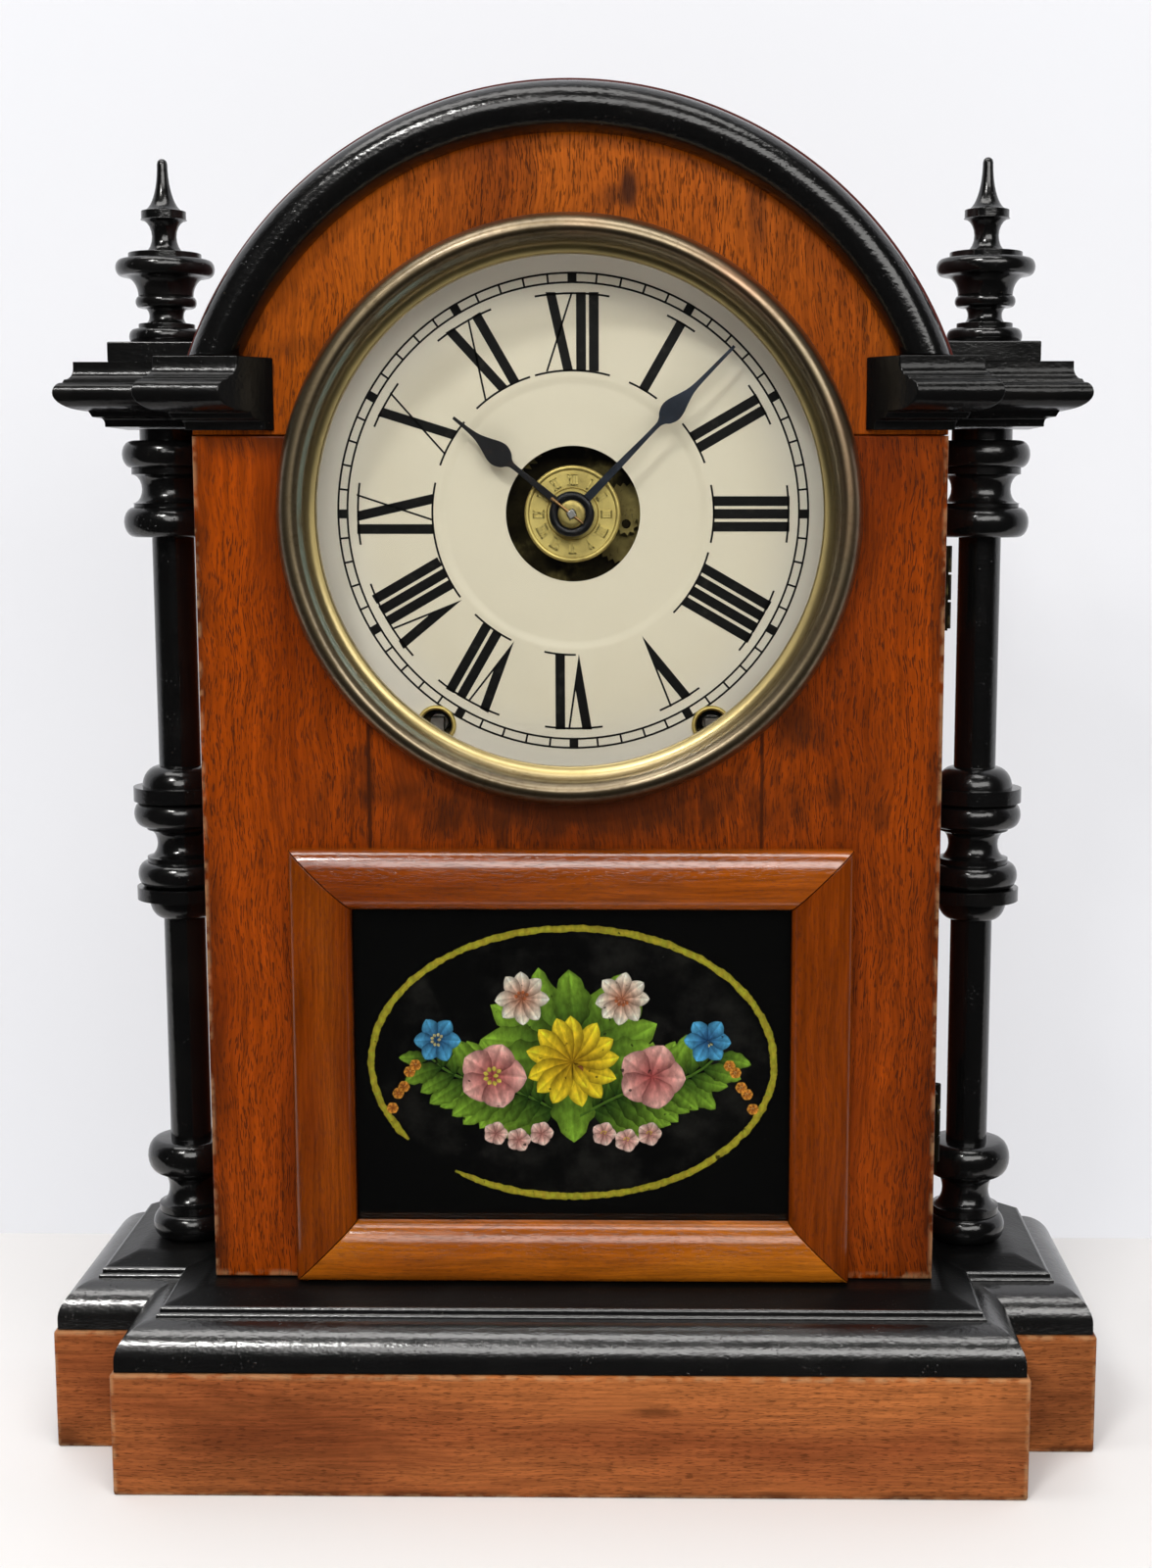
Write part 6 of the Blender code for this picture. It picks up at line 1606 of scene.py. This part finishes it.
class CLOCK_OT_dial(bpy.types.Operator):
    """Make the painted dial, its figures, its minute track and the winding grommets"""
    bl_idname = "clock.dial"
    bl_label = "Dial"

    def execute(self, context):
        dial = clock().dial
        self.pan(dial)
        bm = bmesh.new()
        low, high = -DIAL_FRONT - 0.00002, -DIAL_FRONT + 0.00005
        for hour, text in enumerate(ROMAN):
            for shape in numeral(text, dial.figure_inner, dial.figure_outer, dial.bar, dial.line,
                                 dial.bar * 1.15):
                prism(bm, shape, low, high, around(math.tau * hour / 12))
        self.ink_piece("dial_figures", bm)
        bm = bmesh.new()
        outer, inner = dial.track_radius, dial.track_radius - dial.track_width
        ring_line(bm, outer - dial.line, outer, low, high)
        ring_line(bm, inner, inner + dial.line, low, high)
        for minute in range(60):
            half = (dial.line if minute % 5 else dial.block) / 2
            shape = [(-half, inner), (half, inner), (half, outer), (-half, outer)]
            prism(bm, shape, low, high + 0.000005, around(math.tau * minute / 60))
        self.ink_piece("minute_track", bm)
        finish = brass("grommet_brass", 1.4, gloss=0.5)
        for name in ("left", "right"):
            node = "winding_grommet_" + name
            middle = middle_of(node)
            hole, rim = radii_of(node)
            box_low, box_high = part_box(node)
            front, rear = DIAL_FRONT - box_low.y, DIAL_FRONT - box_high.y
            sleeve = hole + 0.0004
            points = [(hole, rear), (sleeve, rear), (sleeve, GAP), (rim, GAP)]
            points += quarter((rim, GAP), ((hole + rim) / 2, front), 6, False)
            points += quarter(points[-1], (hole, GAP), 6, True)
            place = facing(middle.x, DIAL_FRONT, middle.z)
            mesh = turned("grommet_" + name, distinct(points), 48, place, True)
            add_piece("grommet_" + name, mesh, finish, "case", (node,))
        fit_out("dial_board", pine("dial_board_pine", "X"))
        return {"FINISHED"}

    def ink_piece(self, name, bm):
        """Printed lines on the dial."""
        bmesh.ops.recalc_face_normals(bm, faces=bm.faces)
        add_piece(name, mesh_from(bm, name), ink(name + "_ink"), "case")

    def pan(self, dial):
        """The dial's sheet with a dished middle, its eye and its two winding holes."""
        sheet = DIAL_HIGH.y - DIAL_LOW.y
        step, slope = dial.figure_inner - 0.0008, 0.0028
        points = [(DIAL_EYE, -sheet), (DIAL_EYE, -dial.dish)]
        for i in range(13):
            t = i / 12
            points.append((step - slope * (1 - t), -dial.dish * (1 - t * t * (3 - 2 * t))))
        points.insert(2, (step - slope - 0.0004, -dial.dish))
        points += [(step + 0.0004, 0), (DIAL_RADIUS - 0.0003, 0), (DIAL_RADIUS, -0.0003),
                   (DIAL_RADIUS, -sheet)]
        mesh = turned("dial_sheet", points, 144, facing(0, DIAL_FRONT, DIAL_Z), True)
        made = add_piece("dial_sheet", mesh, dial_paint("dial_paint"), "case", ("dial_pan",))
        for name in ("left", "right"):
            middle = middle_of("winding_grommet_" + name)
            outline = [(0, 0.01), (WINDING_HOLE, 0.01), (WINDING_HOLE, -0.01), (0, -0.01)]
            bore(made, turned("hole_" + name, outline, 40, facing(middle.x, DIAL_FRONT, middle.z)))


def bore(piece, mesh):
    """Cut a mesh away from a piece and keep the result in its mesh."""
    cutter = bpy.data.objects.new("bore", mesh)
    bpy.context.scene.collection.objects.link(cutter)
    step = piece.modifiers.new("Bore", "BOOLEAN")
    step.solver = "EXACT"
    step.object = cutter
    graph = bpy.context.evaluated_depsgraph_get()
    cut = bpy.data.meshes.new_from_object(piece.evaluated_get(graph))
    cut.set_sharp_from_angle(angle=math.radians(SHARP_EDGE))
    piece.modifiers.clear()
    piece.data = cut
    bpy.data.objects.remove(cutter, do_unlink=True)


def fit_out(node, finish):
    """Give a node that stays in view its finish."""
    frame["nodes"][node].material_slots[0].material = finish


def smooth_stations(stations, count=10):
    """More stations on a smooth line through given ones."""
    points = [Vector(s) for s in stations]
    ends = [2 * points[0] - points[1]] + points + [2 * points[-1] - points[-2]]
    found = []
    for i in range(1, len(ends) - 2):
        a, b, c, d = ends[i - 1:i + 3]
        for k in range(count):
            t = k / count
            found.append(0.5 * (2 * b + (c - a) * t + (2 * a - 5 * b + 4 * c - d) * t * t
                                + (3 * b - a - 3 * c + d) * t ** 3))
    found.append(points[-1])
    return [(p.x, max(p.y, 0.0002)) for p in found]


class CLOCK_OT_hands(bpy.types.Operator):
    """Make the hands, their washer and pin, and the alarm disc"""
    bl_idname = "clock.hands"
    bl_label = "Hands"

    # Distance from the centre and half width of each station
    minute_stations = ((0.0055, 0.00115), (0.018, 0.0009), (0.0310, 0.0006), (0.0338, 0.0010),
                       (0.0352, 0.0021), (0.0372, 0.0029), (0.0395, 0.0027), (0.0425, 0.0017),
                       (0.0455, 0.0009), (0.0500, 0.0006), (0.0612, 0.0004))
    hour_stations = ((0.0050, 0.0010), (0.011, 0.0009), (0.0190, 0.0007), (0.0212, 0.0011),
                     (0.0226, 0.0024), (0.0246, 0.0032), (0.0266, 0.0030), (0.0292, 0.0020),
                     (0.0322, 0.0010), (0.0355, 0.0006), (0.0404, 0.0004))
    minute_angle = math.radians(-44.5)
    hour_angle = math.radians(51.2)

    def execute(self, context):
        metal = clock().metal
        blued = steel("blued_steel", metal.blued, 0.26, metallic=0.85)
        black = steel("black_steel", metal.black_steel, 0.30, 0.5, metallic=0.6)
        self.hand("minute", self.minute_stations, self.minute_angle, 0.006, blued, "centre")
        self.hand("hour", self.hour_stations, self.hour_angle, 0.0053, black, "hour")
        self.hub(black)
        self.washer()
        self.alarm()
        return {"FINISHED"}

    def hand(self, name, stations, angle, hub, finish, body):
        """A hand with its hub, slightly rounded on its edges."""
        node = name + "_hand"
        low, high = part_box(node)
        eye = min(math.hypot(p.x, p.z - DIAL_Z) for p in points_of(node))
        side = [(half, reach) for reach, half in smooth_stations(stations)]
        root = math.asin(side[0][0] / hub)
        side[0] = (side[0][0], hub * math.cos(root))
        outline = side + [(-x, r) for x, r in reversed(side)]
        outline += arc((0, 0), hub, math.pi / 2 + root, math.pi * 2.5 - root, 49)[1:-1]
        turn = Matrix.Rotation(angle, 2)
        outline = [tuple(turn @ Vector(p) + Vector((0, DIAL_Z))) for p in outline]
        hole = arc((0, DIAL_Z), eye, 0, math.tau, 41)[:-1]
        mesh = board(node + "_blade", [outline, hole], low.y, high.y, 0.00012)
        add_piece(node + "_blade", mesh, finish, body, (node,))

    def hub(self, finish):
        """The raised ring on the minute hand's hub."""
        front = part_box("minute_hand")[0].y
        ring = [math.pi * i / 12 for i in range(13)]
        points = [(0.00490 + 0.00105 * math.cos(t), 0.0007 * math.sin(t)) for t in ring]
        mesh = turned("hand_hub_ring", points, 64, facing(0, front + 0.00005, DIAL_Z), True)
        add_piece("hand_hub_ring", mesh, finish, "centre")

    def washer(self):
        """The domed brass washer, the arbor's square tip and the tapered pin through it."""
        low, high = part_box("hand_washer")
        hole, radius = radii_of("hand_washer")
        thick = high.y - low.y
        points = [(hole, 0), (radius - 0.0002, 0), (radius, 0.0002)]
        points += quarter(points[-1], (radius * 0.6, thick), 5, False) + [(hole, thick)]
        mesh = turned("washer", distinct(points), 48, facing(0, high.y, DIAL_Z), True)
        add_piece("washer", mesh, brass("washer_brass", 0.3, (0, 0, DIAL_Z)), "centre",
                  ("hand_washer",))
        metal = clock().metal
        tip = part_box("centre_wheel")[0].y
        half, twist, pin_lean = 0.00115, 0.5, 2.47
        square = ((-1, -1), (1, -1), (1, 1), (-1, 1))
        rings = [[(s * half * k * math.cos(twist) - t * half * k * math.sin(twist), tip - 0.0001 + d,
                   DIAL_Z + s * half * k * math.sin(twist) + t * half * k * math.cos(twist))
                  for s, t in square] for d, k in ((0, 0.8), (0.0003, 1), (0.0012, 1))]
        add_piece("arbor_tip", loft("arbor_tip", rings), steel("tip_steel", metal.steel, 0.3),
                  "centre", (), 0.0001)
        way = Vector((math.cos(pin_lean), 0, math.sin(pin_lean)))
        turn = way.to_track_quat("Z", "Y").to_matrix().to_4x4()
        points = [(0, 0.0069), (0.0003, 0.0068), (0.00042, 0.0066), (0.00026, -0.0038), (0, -0.0040)]
        mesh = turned("hand_pin", points, 16, Matrix.Translation((0, low.y - 0.0005, DIAL_Z)) @ turn)
        add_piece("hand_pin", mesh, steel("pin_metal", (0.45, 0.27, 0.12), 0.35), "centre")

    def alarm(self):
        """The alarm disc: a rolled rim, fine rings and raised figures."""
        low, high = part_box("alarm_disc")
        hole, radius = radii_of("alarm_disc")
        thick = high.y - low.y
        ground = thick - 0.0004
        points = [(hole, 0), (radius - 0.0002, 0), (radius, 0.0003)]
        points += quarter(points[-1], (radius - 0.0006, thick), 6, False)
        points += quarter(points[-1], (radius - 0.0013, ground), 4, True)
        points += [(radius - 0.0014, ground), (0.00715, ground), (0.00705, ground), (0.0069, ground + 0.0002),
                   (0.00675, ground), (0.00665, ground), (hole + 0.0002, ground), (hole, ground)]
        finish = brass("alarm_brass", 0.95, (0, 0, DIAL_Z), gloss=0.44)
        mesh = turned("alarm_plate", distinct(points), 96, facing(0, high.y, DIAL_Z), True)
        add_piece("alarm_plate", mesh, finish, "alarm", ("alarm_disc",))
        bm = bmesh.new()
        level = ground - high.y
        for hour, text in enumerate(ROMAN):
            for shape in numeral(text, 0.0076, 0.0106, 0.00052, 0.00034, 0.0):
                prism(bm, shape, level - 0.00005, level + 0.00035, around(math.tau * hour / 12))
        bmesh.ops.recalc_face_normals(bm, faces=bm.faces)
        add_piece("alarm_figures", mesh_from(bm, "alarm_figures"), brass("figure_brass", 1.5, gloss=0.34),
                  "alarm")


class CLOCK_OT_movement(bpy.types.Operator):
    """Finish the movement, and make the gong and the pendulum"""
    bl_idname = "clock.movement"
    bl_label = "Movement"

    def execute(self, context):
        metal = clock().metal
        # The plates are darkened with grime and with painted shade, as they sit deep inside the case
        plate = brass("plate_brass_grime_and_painted_shade", 0.4, offset=0.2, grime=0.97)
        for node in ("movement_back_plate", "movement_front_plate"):
            fit_out(node, plate)
        wheels = ("centre_wheel", "minute_wheel", "hour_wheel", "time_great_wheel", "second_wheel",
                  "third_wheel", "escape_wheel", "strike_great_wheel", "strike_pin_wheel", "strike_fly")
        for node in wheels:
            middle = middle_of(node)
            fit_out(node, brass(node + "_brass", 0.6, (middle.x, 0, middle.z), grime=0.6))
        bright = steel("arbor_steel", metal.steel, 0.3)
        for node in ("time_winding_arbor", "strike_winding_arbor", "verge", "strike_hammer"):
            fit_out(node, bright)
        spring = steel("spring_steel", [c * 0.6 for c in metal.steel], 0.36, 0.6)
        for node in ("time_mainspring", "strike_mainspring"):
            fit_out(node, spring)
        fit_out("movement_block", pine("block_pine", "X"))
        self.gong(metal)
        self.pendulum(bright)
        return {"FINISHED"}

    def gong(self, metal):
        """A close spiral of blued wire on an iron foot."""
        low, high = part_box("gong_coil")
        stand_low, stand_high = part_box("gong_stand")
        stand = (stand_low + stand_high) / 2
        level = (low.y + high.y) / 2
        thick = (high.y - low.y) / 2
        turns, start, end = 4, 0.0044, 0.029
        points = []
        for i in range(turns * 40 + 1):
            angle = math.pi + math.tau * i / 40
            radius = start + (end - start) * i / (turns * 40)
            points.append((stand.x + radius * math.cos(angle), level, stand.z + radius * math.sin(angle)))
        coil = steel("gong_steel", (0.16, 0.16, 0.20), 0.3, 0.8)
        add_piece("gong_wire", wire("gong_wire", points, thick), coil, "case", ("gong_coil",))
        post, foot = 0.003, (stand_high.x - stand_low.x) / 2
        front, base = level - stand_low.y, level - stand_high.y
        points = [(0, front)] + quarter((0, front), (post, front - 0.001), 5, True)
        points.append((post, base + 0.0065))
        points += quarter(points[-1], (foot - 0.0006, base + 0.003), 8, False)
        points += [(foot, base + 0.0024), (foot, base), (0, base)]
        iron = Finish("gong_iron", {"Metallic": 0.4})
        spot = iron.place()
        cast = iron.noise(spot, 700, 4.0)
        iron.sockets({"Base Color": iron.mix(cast.rise(0.4, 0.7), metal.iron, [c * 2.2 for c in metal.iron]),
                      "Roughness": 0.45 + cast * 0.25, "Normal": iron.bump(cast, 0.0002)})
        mesh = turned("gong_foot", distinct(points), 48, facing(stand.x, level, stand.z))
        add_piece("gong_foot", mesh, iron.material, "case", ("gong_stand",), 0.0003)

    def pendulum(self, finish):
        """The wire rod with its nut, and the brass-faced bob."""
        low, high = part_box("pendulum_rod")
        bob_low, bob_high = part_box("pendulum_bob")
        middle = (bob_low + bob_high) / 2
        rod_x, rod_y = (low.x + high.x) / 2, (low.y + high.y) / 2
        nut_radius, nut_height, rod = (high.x - low.x) / 2, 0.003, 0.0007
        nut_top = low.z + 2 * nut_height
        points = [(0, high.z), (rod, high.z), (rod, nut_top), (nut_radius - 0.0003, nut_top),
                  (nut_radius, nut_top - 0.0003), (nut_radius, nut_top - nut_height + 0.0003),
                  (nut_radius - 0.0003, nut_top - nut_height), (rod, nut_top - nut_height),
                  (rod, low.z), (0, low.z)]
        mesh = turned("pendulum_wire", points, 24, Matrix.Translation((rod_x, rod_y, 0)))
        add_piece("pendulum_wire", mesh, finish, "pendulum", ("pendulum_rod",))
        radius, half = (bob_high.x - bob_low.x) / 2, (bob_high.y - bob_low.y) / 2
        rim = 0.0006
        face = [(radius * s, rim + (half - rim) * (1 - s ** 2.2)) for s in (i / 14 for i in range(15))]
        points = face + [(radius, -rim)] + [(r, -h) for r, h in reversed(face[:-1])]
        mesh = turned("bob", distinct(points), 72, facing(*middle))
        made = add_piece("bob", mesh, brass("bob_brass", 0.9, (middle.x, 0, middle.z)), "pendulum",
                         ("pendulum_bob",))
        hole = turned("bob_hole", [(0, 0.1), (rod + GAP, 0.1), (rod + GAP, -0.1), (0, -0.1)], 20,
                      Matrix.Translation(middle))
        bore(made, hole)


class CLOCK_OT_hinges(bpy.types.Operator):
    """Finish the butt hinges of the door"""
    bl_idname = "clock.hinges"
    bl_label = "Hinges"

    def execute(self, context):
        finish = brass("hinge_brass", 0.2, offset=0.7, grime=1.0)
        for level in ("upper", "lower"):
            for leaf in ("case", "door"):
                fit_out(f"hinge_{level}_{leaf}_leaf", finish)
        return {"FINISHED"}


OPERATORS = (CLOCK_OT_stage, CLOCK_OT_base, CLOCK_OT_case, CLOCK_OT_columns, CLOCK_OT_door, CLOCK_OT_tablet,
             CLOCK_OT_bezel, CLOCK_OT_dial, CLOCK_OT_hands, CLOCK_OT_movement, CLOCK_OT_hinges)


class ShelfClock(bpy.types.PropertyGroup):
    """All settings of the clock."""
    wood: PointerProperty(name="Wood", description="Woods and lacquer", type=ClockWood)
    metal: PointerProperty(name="Metal", description="Brass and steel", type=ClockMetal)
    dial: PointerProperty(name="Dial", description="Dial and figures", type=ClockDial)
    tablet: PointerProperty(name="Tablet", description="Painted glass", type=ClockTablet)
    stage: PointerProperty(name="Stage", description="Floor, light and camera", type=ClockStage)


class CLOCK_PT_panel(bpy.types.Panel):
    """Lists the clock's pieces in the sidebar"""
    bl_idname = "CLOCK_PT_panel"
    bl_label = "Shelf clock"
    bl_space_type = "VIEW_3D"
    bl_region_type = "UI"
    bl_category = "Shelf clock"

    def draw(self, context):
        for operator in OPERATORS:
            self.layout.operator(operator.bl_idname, text=operator.bl_label)
        for group in ("wood", "metal", "dial", "tablet", "stage"):
            box = self.layout.box()
            values = getattr(context.scene.shelf_clock, group)
            box.label(text=group.title())
            for key in values.__annotations__:
                box.prop(values, key)


CLASSES = SETTINGS + (ShelfClock,) + OPERATORS + (CLOCK_PT_panel,)


def register():
    for item in CLASSES:
        bpy.utils.register_class(item)
    bpy.types.Scene.shelf_clock = PointerProperty(type=ShelfClock)


def unregister():
    del bpy.types.Scene.shelf_clock
    for item in reversed(CLASSES):
        bpy.utils.unregister_class(item)


def main():
    register()
    for item in OPERATORS:
        group, name = item.bl_idname.split(".")
        getattr(getattr(bpy.ops, group), name)()


if __name__ == "__main__":
    main()
